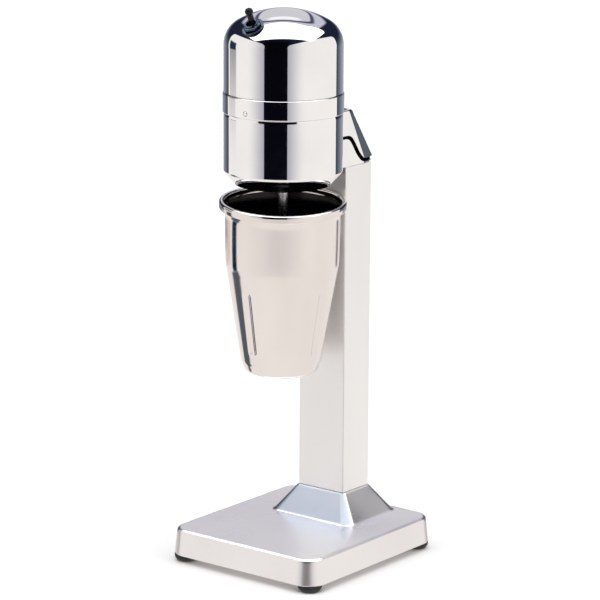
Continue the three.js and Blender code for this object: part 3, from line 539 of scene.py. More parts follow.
def make_base():
    base = to_object("base_shell", lofted(base_levels()), CASTING)
    bosses = [moved(rod(7.5, BASE_LOW.z + 0.4, BASE_TOP - BASE_WALL + 1), (x, y, 0)) for _, x, y in feet()]
    carve(base, together(*bosses), operation="UNION")
    holes = [moved(rod(2.1, BASE_LOW.z - 1, 20), (x, y, 0)) for _, x, y in feet()]
    holes.append(moved(rod(TIE_ROD_HOLE, 35, 70), (0, COLUMN_MIDDLE, 0)))
    holes.append(moved(rod(LEAD_HOLE, 35, 70), (LEAD_X, COLUMN_MIDDLE, 0)))
    inlet = node_middle("cable_grommet")
    inlet.y = 0
    holes.append(moved(rod(6.4, 75, 88.5), inlet, (-90, 0, 0)))
    carve(base, together(*holes))
    recess = moved(rod(8.6, 87.6, 95), inlet, (-90, 0, 0))
    carve(base, recess)
    # A duller, bluer colour on the pyramid's front slope is a painted reflection: it stands in for what that
    # slope would reflect.
    base.data.materials.append(SLOPE_REFLECTION_CASTING)
    for face in base.data.polygons:
        if face.normal.y < -0.3 and face.center.z > (BASE_TOP + 1) * MM:
            face.material_index = len(base.data.materials) - 1
    piece(base, "frame", ["base_casting"], sharp=24)

    profile = [
        (3.4, 82.3), (7.6, 82.3), (7.6, 83.8), (6, 83.8), (6, 87.9),
        (8.2, 87.9), (8.2, 89.4), (6.8, 90.3), (3.4, 90.3),
    ]
    radii = [0.6, 0.4, 0.4, 0, 0, 0.3, 0.5, 0.8, 0.6]
    grommet = moved(turned(rounded_path(profile, radii), SMALL_SIDES), inlet, (-90, 0, 0))
    piece(to_object("cable_bushing", grommet, RUBBER), "frame", ["cable_grommet"])

    top = BASE_LOW.z - GAP
    profile = [(4.2, 0), (8.2, 0), (FOOT_RADIUS, 3.2), (FOOT_RADIUS, top), (2.2, top), (2.2, 3), (4.2, 3)]
    radii = [0.5, 1.6, 1.6, 0.4, 0, 0, 0.3]
    for corner, x, y in feet():
        foot = moved(turned(rounded_path(profile, radii), SMALL_SIDES), (x, y, 0))
        piece(to_object(f"rubber_foot_{corner}", foot, RUBBER), "frame", [f"foot_{corner}"])
        screw = moved(screw_mesh(3.7, 1.7, 1.8, 15), (x, y, 2.6))
        bolt = slotted(to_object(f"foot_bolt_{corner}", screw, ZINC), (x, y, 0.8), 3.7, (0, 0, 35))
        piece(bolt, "frame", [f"foot_screw_{corner}"])


def screw_mesh(head_radius, head_height, shank_radius, shank_length):
    """A pan-head screw on the Z axis: the head is below z 0 and the threaded shank above it."""
    profile = [(0, -head_height), (head_radius * 0.6, -head_height)]
    profile += [(head_radius * (0.6 + 0.4 * math.sin(math.radians(a))),
                 -head_height * (0.35 + 0.65 * math.cos(math.radians(a)))) for a in range(15, 91, 15)]
    profile += [(head_radius, -0.1), (head_radius - 0.1, 0), (shank_radius, 0)]
    pitch = 0.8
    turns = int((shank_length - 1) / pitch)
    for turn in range(turns):
        profile += [(shank_radius, turn * pitch + 0.3), (shank_radius * 0.82, (turn + 0.75) * pitch)]
    profile += [(shank_radius * 0.8, shank_length - 0.8), (0, shank_length)]
    return turned(profile, 32)


def slotted(screw, place, head_radius, turn):
    """Cuts a driver slot across a screw head whose outer face is at place."""
    reach = head_radius * 1.3
    half = max(0.2 * head_radius, 0.3)
    slot = moved(box((-reach, -half, -1), (reach, half, 0.6)), place, turn)
    return carve(screw, slot)


# ---------------------------------------------------------------- column and neck
NECK_SHELF = 351.3        # lowest point of the neck's hood
NECK_TOP = node_box("neck_casting")[1].z
NECK_HOOD_WIDTH = node_box("neck_casting")[1].x * 2
NECK_REAR_BOTTOM = node_box("neck_casting")[1].y
NECK_REAR_TOP = 35.5
NECK_FRONT = 8            # inside the head
NECK_STRIP_BOTTOM = 18    # beside its rear edges the neck draws in over this width
NECK_STRIP_TOP = 7
NECK_DRAUGHT = 0.23       # by this much per millimetre
HOOD_CURVE = [
    (12, 374.8), (24, 374.8), (28, 374.6), (32, 373.2), (36, 369), (40, 363.4),
    (44, 358), (50, 352.6), (56, 351.3), (64, 351.3), (76, 351.3),
]
GROOVE_HALF = 1.6         # half the width of the groove under the hood, which a black core fills as painted shadow


def smooth_curve(points, steps=6):
    """A Catmull-Rom curve through points of a plane."""
    result = []
    for i in range(len(points) - 1):
        p0 = Vector(points[max(i - 1, 0)])
        p1, p2 = Vector(points[i]), Vector(points[i + 1])
        p3 = Vector(points[min(i + 2, len(points) - 1)])
        for step in range(steps):
            t = step / steps
            result.append(0.5 * (2 * p1 + (p2 - p0) * t + (2 * p0 - 5 * p1 + 4 * p2 - p3) * t ** 2
                                 + (3 * p1 - p0 - 3 * p2 + p3) * t ** 3))
    result.append(Vector(points[-1]))
    return result


def shifted(curve, distance):
    """The curve moved sideways, to its left for a positive distance."""
    result = []
    for i, point in enumerate(curve):
        along = (curve[min(i + 1, len(curve) - 1)] - curve[max(i - 1, 0)]).normalized()
        result.append(point + Vector((-along.y, along.x)) * distance)
    return result


def prism(outline, reach=40):
    """A (y, z) outline that reaches as far to the left of the middle plane as to the right."""
    return lofted([[(x, y, z) for y, z in outline] for x in (-reach, reach)])


def neck_wedge(width):
    """The sloping block behind the head, with a drawn-in strip beside each rear edge."""
    rings = []
    low = COLUMN_HIGH.z + GAP
    edge = 1.4
    heights = [low, NECK_SHELF - 1.2, NECK_SHELF]
    heights += [NECK_SHELF + (NECK_TOP - edge - NECK_SHELF) * i / 12 for i in range(1, 13)]
    levels = [(z, 0.0) for z in heights]
    levels += [(NECK_TOP - edge + edge * math.sin(math.radians(a)), edge * (1 - math.cos(math.radians(a))))
               for a in (22.5, 45, 67.5, 90)]
    for z, inset in levels:
        rise = max(0.0, (z - NECK_SHELF) / (NECK_TOP - NECK_SHELF))
        rear = NECK_REAR_BOTTOM + (NECK_REAR_TOP - NECK_REAR_BOTTOM) * rise - inset
        half = width / 2 - inset
        strip = NECK_STRIP_BOTTOM + (NECK_STRIP_TOP - NECK_STRIP_BOTTOM) * rise - 0.4 * inset
        drawn_in = strip * NECK_DRAUGHT
        side = [(half, NECK_FRONT), (half, rear - strip), (half - drawn_in, rear)]
        outline = side + [(-x, y) for x, y in reversed(side)]
        rings.append([(x, y, z) for x, y in rounded_path(outline, [0, 5, 2.5, 2.5, 5, 0], 6, 0.3)])
    return lofted(rings)


def make_neck():
    low = COLUMN_HIGH.z + GAP
    curve = smooth_curve(HOOD_CURVE)
    body = to_object("neck_cover", neck_wedge(COLUMN_WIDTH), CHROME)
    above = shifted(curve, -GROOVE_HALF)
    carve(body, prism([*above, Vector((90, 420)), Vector((0, 420))]))
    ledge = [(60, low - 5), (64, low), (74, NECK_SHELF - 0.6), (90, NECK_SHELF), (90, low - 5)]
    carve(body, prism(ledge))

    hood = to_object("hood", neck_wedge(NECK_HOOD_WIDTH), CHROME)
    below = shifted(curve, GROOVE_HALF)
    carve(hood, prism([*below, Vector((90, 330)), Vector((0, 330))]))

    # A near-black core fills the groove between body and hood as painted shadow.
    core = to_object("core", neck_wedge(COLUMN_WIDTH - 1.2), GROOVE_SHADOW)
    carve(core, prism([(-10, 330), (90, 330), (90, NECK_SHELF - 2), (-10, NECK_SHELF - 2)]))
    carve(core, prism([(60, 330), (90, 330), (90, 380), (70, 380), (66, 345)]))
    carve(body, core, operation="UNION")
    carve(body, hood, operation="UNION")

    spigot = box((-22, COLUMN_MIDDLE - 15.6, 332), (22, COLUMN_MIDDLE + 15.6, low + 1))
    carve(body, spigot, operation="UNION")
    saddle = moved(rod(HEAD_RADIUS + 2 * GAP, 300, 420, SIDES), AXIS)
    carve(body, saddle)
    rod_hole = moved(rod(TIE_ROD_HOLE, 320, 362), (0, COLUMN_MIDDLE, 0))
    lead_hole = moved(rod(LEAD_HOLE, 320, 379), (LEAD_X, COLUMN_MIDDLE, 0))
    carve(body, together(rod_hole, lead_hole))
    piece(body, "frame", ["neck_casting"], sharp=28)


def make_column():
    wall = 2.5
    edge = 0.3
    rings = []
    low, high = COLUMN_LOW.z, COLUMN_HIGH.z
    for out, z in ((-edge, low), (0, low + edge), (0, high - edge), (-edge, high)):
        rings.append(rectangle(COLUMN_WIDTH + 2 * out, COLUMN_DEPTH + 2 * out, 1.2 + out, z, COLUMN_MIDDLE))
    for z in (high, low):
        rings.append(rectangle(COLUMN_WIDTH - 2 * wall, COLUMN_DEPTH - 2 * wall, 0.8, z, COLUMN_MIDDLE))
    column = to_object("column_shell", lofted(rings, looped=True), COLUMN_SATIN)
    piece(column, "frame", ["column_tube"])
    make_neck()


# ---------------------------------------------------------------- cup holder
HOLDER_TOP = 319.6        # the shelf that the cup's rolled rim hangs on
HOLDER_CUP_RADIUS = 52.2  # the holder is hollowed to this radius round the head's axis
HOOK_RADIUS = 52.3
HOOK_WALL = 0.9


def make_cup_holder():
    low, high = node_box("cup_holder")
    half, back, wall = high.x, high.y, 2.2
    holder = to_object("cup_bracket", box((-half, back - wall, low.z), (half, back, HOLDER_TOP)), CUP_STEEL)
    shelf = box((-half, AXIS.y + 44, HOLDER_TOP - 3), (half, back - 0.5, HOLDER_TOP))
    carve(holder, shelf, operation="UNION")
    for left in (-half, half - wall):
        cheek = box((left, AXIS.y + 46, HOLDER_TOP - 9), (left + wall, back - 0.5, HOLDER_TOP - 0.5))
        carve(holder, cheek, operation="UNION")
    carve(holder, moved(rod(HOLDER_CUP_RADIUS, low.z - 5, HOLDER_TOP + 5, SIDES), AXIS))
    hook = tube(HOOK_RADIUS, HOOK_RADIUS + HOOK_WALL, HOLDER_TOP - 1, high.z)
    hook = to_object("hook", moved(hook, AXIS), CUP_STEEL)
    carve(hook, box((-half, AXIS.y + 40, 300), (half, AXIS.y + 60, 330)), operation="INTERSECT")
    carve(holder, hook, operation="UNION")
    holes = []
    for side in ("left", "right"):
        x, _, z = node_middle(f"cup_holder_screw_{side}")
        holes.append(moved(rod(2.4, back - 5, back + 5), (x, 0, z), (-90, 0, 0)))
        screw = moved(screw_mesh(4, 1.2, 2, 8), (x, back - wall - GAP, z), (-90, 0, 0))
        head = (x, back - wall - GAP - 1.2, z)
        bolt = slotted(to_object(f"bracket_screw_{side}", screw, ZINC), head, 4, (-90, 0, 0))
        piece(bolt, "frame", [f"cup_holder_screw_{side}"])
    carve(holder, together(*holes))
    rounded(holder, 0.3, 2, 50)
    piece(holder, "frame", ["cup_holder"])

    pad_low, pad_high = node_box("cup_rest_pad")
    pad = rounded(to_object("rest_pad", box(pad_low, pad_high), RUBBER), 1.2, 4)
    piece(pad, "frame", ["cup_rest_pad"])


# ---------------------------------------------------------------- covers of the head
DOME_SHOULDER = 23.9      # radius of the dome's rounded shoulder
DOME_STRAIGHT_TOP = 460.0
DOME_WALL = 1.5
SPIGOT_OUTER = 49.2       # the band's inner rims that centre the housing and the dome
SPIGOT_INNER = 47.4


def dome_outline(offset):
    """Straight wall, rounded shoulder and shallow crown, from the bottom to the apex."""
    shoulder_x = HEAD_RADIUS - DOME_SHOULDER
    drop = DOME_STRAIGHT_TOP - DOME_HIGH.z
    crown = -(shoulder_x ** 2 + drop ** 2 - DOME_SHOULDER ** 2) / (2 * (drop + DOME_SHOULDER))
    crown_z = DOME_HIGH.z - crown
    meet = math.degrees(math.atan2(DOME_STRAIGHT_TOP - crown_z, shoulder_x))
    points = arc((shoulder_x, DOME_STRAIGHT_TOP), DOME_SHOULDER + offset, 0, meet, 28)
    points += arc((0, crown_z), crown + offset, meet, 90, 28)[1:]
    points[-1] = (0, points[-1][1])
    return points


def make_dome():
    edge = 0.5
    outer = [(HEAD_RADIUS - edge, DOME_LOW.z), (HEAD_RADIUS, DOME_LOW.z + edge)]
    outer.append((HEAD_RADIUS, DOME_STRAIGHT_TOP - 0.5))
    outer += dome_outline(0)
    inner = [(HEAD_RADIUS - DOME_WALL, DOME_LOW.z)]
    inner += dome_outline(-DOME_WALL)
    dome = to_object("dome_shell", moved(turned([*reversed(inner), *outer]), AXIS), CHROME)
    hole = switch_place(rod(6.5, -15, 15))
    carve(dome, hole)
    piece(dome, "frame", ["dome_cover"], sharp=28)


def make_band():
    profile = [
        (SPIGOT_INNER, BAND_LOW.z), (SPIGOT_OUTER, BAND_LOW.z), (SPIGOT_OUTER, BAND_BOTTOM),
        (BAND_RADIUS, BAND_BOTTOM), (BAND_RADIUS, BAND_TOP), (SPIGOT_OUTER, BAND_TOP),
        (SPIGOT_OUTER, BAND_HIGH.z), (SPIGOT_INNER, BAND_HIGH.z),
    ]
    radii = [0, 0, 0, 0.5, 0.7, 0, 0, 0]
    band = to_object("band_ring", moved(turned(rounded_path(profile, radii, guard=0.2)), AXIS), CHROME)
    screw_front = node_box("band_screw")[0].y
    z = node_middle("band_screw").z
    carve(band, moved(rod(2.2, AXIS.y - 60, AXIS.y - 40), (0, 0, z), (-90, 0, 0)))
    piece(band, "frame", ["trim_band"], sharp=28)
    screw = moved(screw_mesh(1.9, 0.9, 1.3, 6), (0, screw_front + 0.9, z), (-90, 0, 0))
    bolt = slotted(to_object("band_bolt", screw, CHROME), (0, screw_front, z), 1.9, (-90, 12, 0))
    piece(bolt, "frame", ["band_screw"])


def make_housing():
    floor_radius = 41.9
    chamfer_top = 351.4
    top = HOUSING_HIGH.z
    low = HOUSING_LOW.z
    inner = HEAD_RADIUS - 2.5
    roll = 2.2            # rounding of the top edge under the band
    profile = [
        (7.2, low), (floor_radius, low), (HEAD_RADIUS, chamfer_top), (HEAD_RADIUS, top - roll - 0.2),
        (HEAD_RADIUS - 0.9, top), (49.6, top), (49.6, top - 4.7), (inner, top - 4.7),
        (inner, chamfer_top + 1.2), (floor_radius - 1, low + 4), (14.5, low + 4),
        (14.5, 352), (11.3, 352), (11.3, 345), (7.2, 345),
    ]
    radii = [0.5, 2.0, 3.0, 0.8, 0.3, 0, 0, 0, 0, 0, 0, 0, 0, 0, 0]
    shell = moved(turned(rounded_path(profile, radii, guard=0.25)), AXIS)
    housing = to_object("housing_shell", shell, CHROME)
    piece(housing, "frame", ["motor_housing"], sharp=28)

    seal_low, seal_high = node_box("splash_seal")
    seal = [(4.9, seal_low.z), (8.4, seal_low.z), (9.8, seal_low.z + 2.5), (9.8, low - GAP),
            (6.8, low - GAP), (6.8, seal_high.z), (4.9, seal_high.z)]
    radii = [0.3, 0.8, 0.8, 0.3, 0, 0, 0.2]
    ring = to_object("shaft_seal", moved(turned(rounded_path(seal, radii), SMALL_SIDES), AXIS), RUBBER)
    piece(ring, "frame", ["splash_seal"])


# ---------------------------------------------------------------- toggle switch
SWITCH_TILT = 37.3
LEVER_TILT = -13.5
LEVER_PIVOT = -3.0        # along the switch's own axis, from the dome's surface
LEVER_LENGTH = 18.0
PIVOT = Vector(next(j for j in frame["joints"] if j["name"] == "switch_throw")["pos_m"]) / MM
SWITCH_AXIS = Vector((0, -math.sin(math.radians(SWITCH_TILT)), math.cos(math.radians(SWITCH_TILT))))
SWITCH_ORIGIN = PIVOT - SWITCH_AXIS * LEVER_PIVOT


def switch_place(bm):
    return moved(bm, SWITCH_ORIGIN, (SWITCH_TILT, 0, 0))


def make_switch():
    washer = [(6.2, 0.3), (9.8, 0.3), (9.8, 1.7), (6.2, 1.7)]
    ring = turned(rounded_path(washer, [0.2, 0.4, 0.5, 0.2]), SMALL_SIDES)
    ring = to_object("switch_ring", switch_place(ring), SWITCH_DARK_REFLECTION)
    piece(ring, "frame", ["switch_washer"])

    hexagon = turned([(6.2, 2), (7.8, 2), (8.6, 2.6), (8.6, 4), (7.6, 4.6), (6.2, 4.6)], 6)
    nut = to_object("switch_hex_nut", switch_place(moved(hexagon, turn=(0, 0, 18))), SWITCH_DARK_REFLECTION)
    rounded(nut, 0.22, 2, 20)
    piece(nut, "frame", ["switch_nut"], sharp=24)

    profile = [(4.3, -5.3), (5.9, -5.3)]
    turns = 12
    for i in range(turns):
        z = -5.1 + i * 10.0 / turns
        profile += [(5.9, z + 0.15), (5.35, z + 0.45), (5.9, z + 0.75)]
    profile += [(5.5, 5.4), (4.3, 5.4)]
    bushing = to_object("switch_barrel", switch_place(turned(profile, SMALL_SIDES)), SWITCH_DARK_REFLECTION)
    piece(bushing, "frame", ["switch_bushing"])

    ball = 3.5
    stem = 2.65
    profile = [(0, -2), (1.4, -1.5), (2, 0), (1.8, 1.6), (1.8, 8.4), (2.1, 9.4), (2.5, 10.4)]
    profile += [(stem, 11.6), (stem, 14)]
    start = -math.degrees(math.acos(stem / ball))
    profile += arc((0, LEVER_LENGTH), ball, start, 90, 16)
    profile[-1] = (0, LEVER_LENGTH + ball)
    lever = moved(turned(profile, SMALL_SIDES), (0, 0, 0), (SWITCH_TILT + LEVER_TILT, 0, 0))
    toggle = to_object("toggle_bat", moved(lever, PIVOT), LEVER_BLACK)
    piece(toggle, "switch_lever", ["toggle_lever"], sharp=50)


# ---------------------------------------------------------------- agitator
def make_agitator():
    low, high = node_box("agitator_shaft")
    radius = high.x
    shoulder = 203.5
    top = 344.8
    profile = [(0, low.z), (2.3, low.z + 0.3), (2.3, shoulder), (radius - 0.4, shoulder)]
    profile += [(radius, shoulder + 0.4), (radius, top - 0.4), (radius - 0.4, top)]
    profile += [(2.1, top), (2.1, high.z - 0.4), (0, high.z)]
    shaft = to_object("stirrer_shaft", moved(turned(profile, SMALL_SIDES), AXIS), STIRRER)
    piece(shaft, "rotor", ["agitator_shaft"])

    low, high = node_box("agitator_disc")

    def scalloped(angle, radius, _height):
        share = max(0.0, (radius - 6) / 8.2)
        return radius + 1.2 * share * math.cos(8 * angle)

    outline = [(2.7, low.z), (8, low.z), (14, low.z), (14, high.z)]
    outline += [(11, high.z), (6, high.z - 0.9), (2.7, high.z - 0.2)]
    radii = [0, 0, 1.1, 1.1, 0, 0, 0]
    disc = turned(rounded_path(outline, radii, 5), 160, scalloped)
    disc = to_object("stirrer_disc", moved(disc, AXIS), STIRRER)
    piece(disc, "rotor", ["agitator_disc"])

    low, high = node_box("agitator_nut")
    bore = low.z + 4
    outline = [(0, low.z), (3.4, low.z + 1), (4.9, low.z + 3), (4.9, high.z), (2.7, high.z)]
    cap = turned([*outline, (2.7, bore), (0, bore)], 6)
    nut = rounded(to_object("stirrer_nut", moved(cap, AXIS), STIRRER), 0.25, 3, 20)
    piece(nut, "rotor", ["agitator_nut"], sharp=40)


# ---------------------------------------------------------------- cup
CUP_WALL = 0.9
CUP_BOTTOM = 173.2        # heights are those the cup would have if it hung straight
CUP_LIP = 325.5
CUP_LEAN = 3.7            # degrees that the hung cup leans, as its foot swings back to the column
CUP_LEAN_TOWARDS = 45.0   # the lip leans this far round from the front to the right
FLUTES = 4
FLUTE_TURN = -3.2         # degrees from the front, seen from above
FLUTE_LOW = 191.0
FLUTE_HIGH = 253.0
FLUTE_WIDTH = 11.0
FLUTE_DEPTH = 1.7


def pressed_wall(angle, radius, height):
    """Four upright flutes pressed into the tapered wall, with round ends."""
    if not FLUTE_LOW - 2 < height < FLUTE_HIGH + 2:
        return radius
    spacing = 2 * math.pi / FLUTES
    first = math.radians(-90 + FLUTE_TURN)
    across = ((angle - first + spacing / 2) % spacing - spacing / 2) * radius
    half = FLUTE_WIDTH / 2
    up = max(FLUTE_LOW + half - height, height - (FLUTE_HIGH - half), 0.0)
    far = math.hypot(across, up) / half
    if far >= 1:
        return radius
    return radius - FLUTE_DEPTH * math.cos(far * math.pi / 2) ** 2


def cup_centreline():
    """The middle of the cup's sheet from the axis to the end of the rolled rim, as [radius, height]."""
    half = CUP_WALL / 2
    floor = CUP_BOTTOM + half
    path = [(0, floor), (14, floor), (24, floor)]
    path += arc((29.3, floor + 3.4), 3.4, -90, -20, 8)
    path += [(33.3, 178.4), (34.0, 180.4), (34.6, 182.0)]
    wall_low, wall_high = Vector((35.05, 183.5)), Vector((47.65, 263.4))
    rows = 80
    path += [tuple(wall_low.lerp(wall_high, i / rows)) for i in range(rows + 1)]
    path += [(48.05, 265.4), (48.35, 267.2), (48.6, 269.2), (48.85, 272), (49.0, 284), (49.15, 298)]
    path += [(49.25, 310), (49.35, 312.8), (49.7, 315.2), (50.4, 317.6), (51.0, 319.6), (51.25, 321.4)]
    bead = 1.75
    path += arc((51.25 + bead, CUP_LIP - half - bead), bead, 180, 8, 16)
    path += [(54.7, 321.8), (54.68, 319.9)]
    path += arc((54.08, 319.35), 0.6, 0, -170, 8)
    return path


def hung(bm):
    """Leans the straight cup about the middle of its lip and moves it under the head."""
    towards = math.radians(CUP_LEAN_TOWARDS)
    hinge = Vector((math.cos(towards), math.sin(towards), 0))
    lip = Vector((0, 0, CUP_LIP))
    swing = Matrix.Rotation(math.radians(CUP_LEAN), 4, hinge)
    matrix = Matrix.Translation(AXIS + lip) @ swing @ Matrix.Translation(-lip)
    bmesh.ops.transform(bm, matrix=matrix, verts=bm.verts)
    return bm


def make_cup():
    centre = [Vector(p) for p in cup_centreline()]
    sides = []
    for sign in (1, -1):
        side = []
        for i, point in enumerate(centre):
            along = (centre[min(i + 1, len(centre) - 1)] - centre[max(i - 1, 0)]).normalized()
            away = Vector((along.y, -along.x)) * sign * CUP_WALL / 2
            side.append(tuple(point + away))
        side[0] = (0, side[0][1])
        sides.append(side)
    outside, inside = sides
    bm = turned([*outside, *reversed(inside)], 360, pressed_wall)
    # The inner faces get the near-black steel, painted shade for the inside of the cup.
    bm.normal_update()
    for face in bm.faces:
        middle = face.calc_center_median()
        inward = face.normal.x * middle.x + face.normal.y * middle.y < 0 or face.normal.z > 0.5
        if inward and middle.z < 320.5 and middle.xy.length < 51.4:
            face.material_index = 1
    cup = to_object("steel_cup", hung(bm), CUP_STEEL, CUP_INSIDE_SHADE)
    piece(cup, "cup", ["mixing_cup"], sharp=60)


# ---------------------------------------------------------------- pieces kept from the CAD
INNER_LOOKS = [
    ("lamination", LAMINATION, ["stator_core", "armature_core"]),
    ("copper", COPPER, [
        "field_coil_left", "field_coil_right", "commutator",
        "armature_winding_lower", "armature_winding_upper",
    ]),
    ("carbon", CARBON, ["carbon_brush_left", "carbon_brush_right"]),
    ("brass", BRASS, ["brush_holder_left", "brush_holder_right"]),
    ("zinc_steel", ZINC, [
        "tie_rod", "tie_rod_washer", "tie_rod_nut", "neck_screw_lower", "neck_screw_upper",
        "armature_shaft", "lower_bearing", "upper_bearing", "motor_bolt_front", "motor_bolt_rear",
        "motor_spacer_front", "motor_spacer_rear", "brush_spring_left", "brush_spring_right",
    ]),
    ("cast_aluminium", CASTING, ["upper_bracket"]),
    ("fan_plastic", FAN_PLASTIC, ["cooling_fan"]),
    ("black_plastic", BLACK_PLASTIC, ["switch_body", "suppressor_capacitor"]),
    ("black_plastic", LEAD_SHEATH, ["supply_lead"]),
]


def dress_inner_pieces():
    """Gives the CAD pieces inside the covers their materials."""
    for slot, material, names in INNER_LOOKS:
        for name in names:
            node = frame["nodes"][name]
            node.data.materials.clear()
            node.data.materials.append(material)
            node.data.shade_smooth()
            node.data.set_sharp_from_angle(angle=math.radians(30))


make_base()
make_column()
make_cup_holder()
make_housing()
make_band()
make_dome()
make_switch()
make_agitator()
make_cup()
dress_inner_pieces()


# ---------------------------------------------------------------- studio
CAMERA_PLACE = Vector((1.603583, -2.066547, 0.850300))
CAMERA_AZIMUTH = 37.88    # degrees round from the front, towards the right side
CAMERA_PITCH = 13.31
CAMERA_ROLL = 0.3
CAMERA_LENS = 184.56
CAMERA_SENSOR = 36.0


def make_camera():
    data = bpy.data.cameras.new("camera")
    data.lens = CAMERA_LENS
    data.sensor_width = CAMERA_SENSOR
    camera = bpy.data.objects.new("camera", data)
    bpy.context.scene.collection.objects.link(camera)
    azimuth, pitch = math.radians(CAMERA_AZIMUTH), math.radians(CAMERA_PITCH)
    level = math.cos(pitch)
    look = Vector((-math.sin(azimuth) * level, math.cos(azimuth) * level, -math.sin(pitch)))
    roll = Quaternion((0, 0, 1), math.radians(CAMERA_ROLL))
    camera.location = CAMERA_PLACE
    camera.rotation_mode = "QUATERNION"
    camera.rotation_quaternion = look.to_track_quat("-Z", "Y") @ roll
    bpy.context.scene.camera = camera


def make_floor():
    bm = bmesh.new()
    reach = 30.0
    corners = ((-reach, -reach, 0), (reach, -reach, 0), (reach, reach, 0), (-reach, reach, 0))
    bm.faces.new([bm.verts.new(corner) for corner in corners])
    mesh = bpy.data.meshes.new("floor")
    bm.to_mesh(mesh)
    bm.free()
    floor = bpy.data.objects.new("floor", mesh)
    bpy.context.scene.collection.objects.link(floor)
    floor.location.z = -0.0002
    shader = Shader("floor_paper", (0.93, 0.925, 0.92), 0.0, 0.9)
    mesh.materials.append(shader.material)
    floor.visible_glossy = False


class Studio:
    """The room as reflections and light see it, painted on the world in layers, the last on top.

    Directions are degrees round from the camera's side (towards its right) and degrees of height.
    """

    def __init__(self, colour):
        world = bpy.data.worlds.new("studio")
        bpy.context.scene.world = world
        world.use_nodes = True
        self.nodes = world.node_tree.nodes
        self.links = world.node_tree.links
        self.background = self.nodes["Background"]
        direction = self.nodes.new("ShaderNodeTexCoord").outputs["Generated"]
        azimuth = math.radians(CAMERA_AZIMUTH)
        right = self.dot(direction, (math.cos(azimuth), math.sin(azimuth), 0))
        towards = self.dot(direction, (math.sin(azimuth), -math.cos(azimuth), 0))
        upwards = self.dot(direction, (0, 0, 1))
        self.angle = self.math("ARCTAN2", right, towards)
        self.rise = self.math("ARCSINE", upwards)
        self.round = self.math("MULTIPLY", self.angle, 180 / math.pi)
        self.height = self.math("MULTIPLY", self.rise, 180 / math.pi)
        rgb = self.nodes.new("ShaderNodeRGB")
        rgb.outputs[0].default_value = (*colour, 1)
        self.colour = rgb.outputs[0]

    def dot(self, vector, constant):
        node = self.nodes.new("ShaderNodeVectorMath")
        node.operation = "DOT_PRODUCT"
        self.links.new(vector, node.inputs[0])
        node.inputs[1].default_value = constant
        return node.outputs["Value"]

    def math(self, operation, *values):
        node = self.nodes.new("ShaderNodeMath")
        node.operation = operation
        for socket, value in zip(node.inputs, values):
            if isinstance(value, (int, float)):
                socket.default_value = value
            else:
                self.links.new(value, socket)
        return node.outputs[0]

    def minus(self, first, second):
        return self.math("SUBTRACT", first, second)

    def times(self, first, second):
        return self.math("MULTIPLY", first, second)

    def inside(self, value, edge, softness):
        """1 where value is well below edge and 0 well above it, with a smooth step between."""
        node = self.nodes.new("ShaderNodeMapRange")
        node.interpolation_type = "SMOOTHSTEP"
        node.inputs["From Min"].default_value = edge - softness
        node.inputs["From Max"].default_value = edge + softness
        node.inputs["To Min"].default_value = 1
        node.inputs["To Max"].default_value = 0
        self.links.new(value, node.inputs["Value"])
        return node.outputs["Result"]

    def beyond(self, value, middle, half):
        """How far value is outside the span middle +- half; negative inside it."""
        return self.minus(self.math("ABSOLUTE", self.minus(value, middle)), half)

    def rounded(self, across, along, corner, softness):
        """Mask of a rectangle with round corners, from how far a point is beyond its sides."""
        across, along = self.math("ADD", across, corner), self.math("ADD", along, corner)
        outer_x, outer_y = self.math("MAXIMUM", across, 0), self.math("MAXIMUM", along, 0)
        square_x, square_y = self.times(outer_x, outer_x), self.times(outer_y, outer_y)
        squares = self.math("ADD", square_x, square_y)
        inner = self.math("MINIMUM", self.math("MAXIMUM", across, along), 0)
        return self.inside(self.math("ADD", self.math("SQRT", squares), inner), corner, softness)

    def card(self, middle, half_width, low, high, softness, colour, upright_softness=None, blend="MIX"):
        """A patch of the horizon between two heights."""
        turn = self.math("WRAP", self.minus(self.round, middle), 180, -180)
        across = self.inside(self.beyond(turn, 0, half_width), 0, softness)
        level = self.beyond(self.height, (low + high) / 2, (high - low) / 2)
        upright = self.inside(level, 0, upright_softness or softness)
        self.paint(self.times(across, upright), colour, blend)

    def panel(self, facing, left, right, top, corner, softness, colour):
        """A flat upright panel that stands square to one direction; its side edges and top are degrees."""
        facing = math.radians(facing)
        left, right = math.tan(math.radians(left) - facing), math.tan(math.radians(right) - facing)
        turn = self.math("WRAP", self.minus(self.angle, facing), math.pi, -math.pi)
        reach = self.math("MAXIMUM", self.math("COSINE", turn), 0.05)
        x = self.math("TANGENT", self.math("MINIMUM", self.math("MAXIMUM", turn, -1.45), 1.45))
        y = self.math("DIVIDE", self.math("TANGENT", self.rise), reach)
        across = self.beyond(x, (left + right) / 2, (right - left) / 2)
        along = self.minus(y, math.tan(math.radians(top)))
        mask = self.rounded(across, along, corner, softness)
        self.paint(self.times(mask, self.inside(self.math("ABSOLUTE", turn), 1.4, 0.01)), colour)

    def ceiling(self, middle, half, corner, softness, colour, widening=0.0):
        """A level panel overhead. Lengths are shares of its height: x to the camera's right, y to it."""
        height = self.math("MAXIMUM", self.math("SINE", self.rise), 0.02)
        flat = self.math("DIVIDE", self.math("COSINE", self.rise), height)
        x = self.times(flat, self.math("SINE", self.angle))
        y = self.times(flat, self.math("COSINE", self.angle))
        wider = self.times(self.minus(y, middle[1]), widening)
        across = self.minus(self.beyond(x, middle[0], half[0]), wider)
        along = self.beyond(y, middle[1], half[1])
        above = self.inside(self.times(self.height, -1), -2, 1)
        self.paint(self.times(self.rounded(across, along, corner, softness), above), colour)

    def paint(self, mask, colour, blend="MIX"):
        mix = self.nodes.new("ShaderNodeMix")
        mix.data_type = "RGBA"
        mix.blend_type = blend
        self.links.new(mask, mix.inputs["Factor"])
        self.links.new(self.colour, mix.inputs["A"])
        mix.inputs["B"].default_value = (*colour, 1)
        self.colour = mix.outputs["Result"]

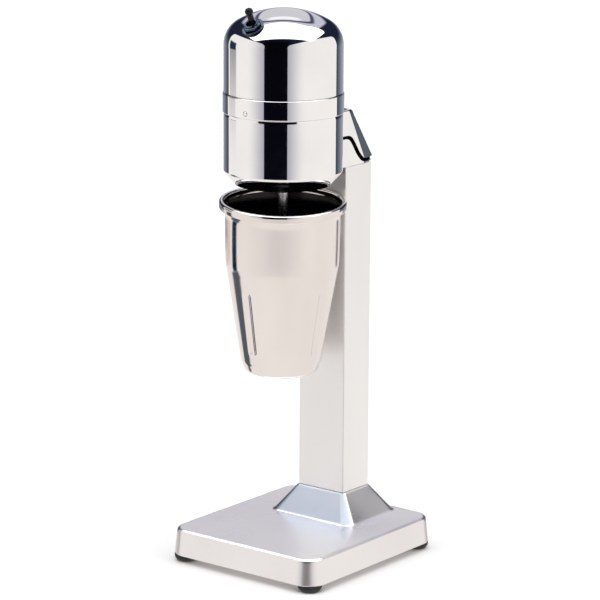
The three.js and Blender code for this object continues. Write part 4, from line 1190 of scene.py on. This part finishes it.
    def finish(self, backdrop):
        """The camera itself sees only a plain backdrop."""
        paths = self.nodes.new("ShaderNodeLightPath")
        mix = self.nodes.new("ShaderNodeMix")
        mix.data_type = "RGBA"
        self.links.new(paths.outputs["Is Camera Ray"], mix.inputs["Factor"])
        self.links.new(self.colour, mix.inputs["A"])
        mix.inputs["B"].default_value = (*backdrop, 1)
        self.links.new(mix.outputs["Result"], self.background.inputs["Color"])


TABLE_EDGE = -12.6        # the far edge of the table, in degrees of height


def make_studio():
    room = Studio((0.012, 0.016, 0.035))
    # The dark doorway on the camera's side and the pale wall behind.
    room.card(-15, 30, -14, 40, 8, (0.006, 0.005, 0.007))
    room.card(176, 35, -14, 0, 30, (0.52, 0.55, 0.63), 12)
    # Overhead, behind: a lavender wall, a dark frame and the light inside it.
    room.ceiling((0, -10.2), (0.70, 9.65), 0.1, 0.08, (0.58, 0.57, 0.68))
    room.ceiling((0, -10.35), (0.45, 9.65), 0.40, 0.03, (0.08, 0.07, 0.12))
    room.ceiling((0, -10.43), (0.38, 9.65), 0.36, 0.02, (0.64, 0.63, 0.66))
    room.ceiling((0, -0.95), (0.22, 0.12), 0.08, 0.06, (1.0, 1.0, 1.0))
    # The big soft panels on both sides, dimmer towards the doorway, and the light overhead.
    room.panel(-80, -130, -37, 30, 0.28, 0.02, (0.923, 0.889, 0.855))
    room.panel(62, 8, 122, 34.6, 0.30, 0.02, (0.923, 0.889, 0.855))
    room.card(-15, 32, -13, 60, 28, (0.30, 0.30, 0.42), 1, "MULTIPLY")
    room.card(-114, 11, -9, 8, 2, (0.02, 0.03, 0.06), 2)
    room.ceiling((0, 0.09), (1.35, 0.71), 0.10, 0.03, (2.1, 2.1, 2.1), 0.25)
    # The pale table, and the dark things at its edges.
    room.card(0, 181, -91, TABLE_EDGE, 0.4, (0.92, 0.875, 0.84))
    room.card(-10, 30, -27, -15, 45, (0.80, 0.78, 0.80), 8, "MULTIPLY")
    room.card(-146, 14, -15, TABLE_EDGE, 4, (0.82, 0.72, 0.70), 1, "MULTIPLY")
    room.card(-115, 8, -21, TABLE_EDGE, 2, (0.004, 0.02, 0.04), 1)
    room.card(-119, 14, -36, -21, 3, (0.10, 0.11, 0.14), 1)
    room.card(144, 6, -16, TABLE_EDGE, 4, (0.24, 0.22, 0.25), 1)
    room.finish((1.05, 1.05, 1.05))


make_camera()
make_floor()
make_studio()
bpy.context.scene.view_settings.view_transform = "Standard"
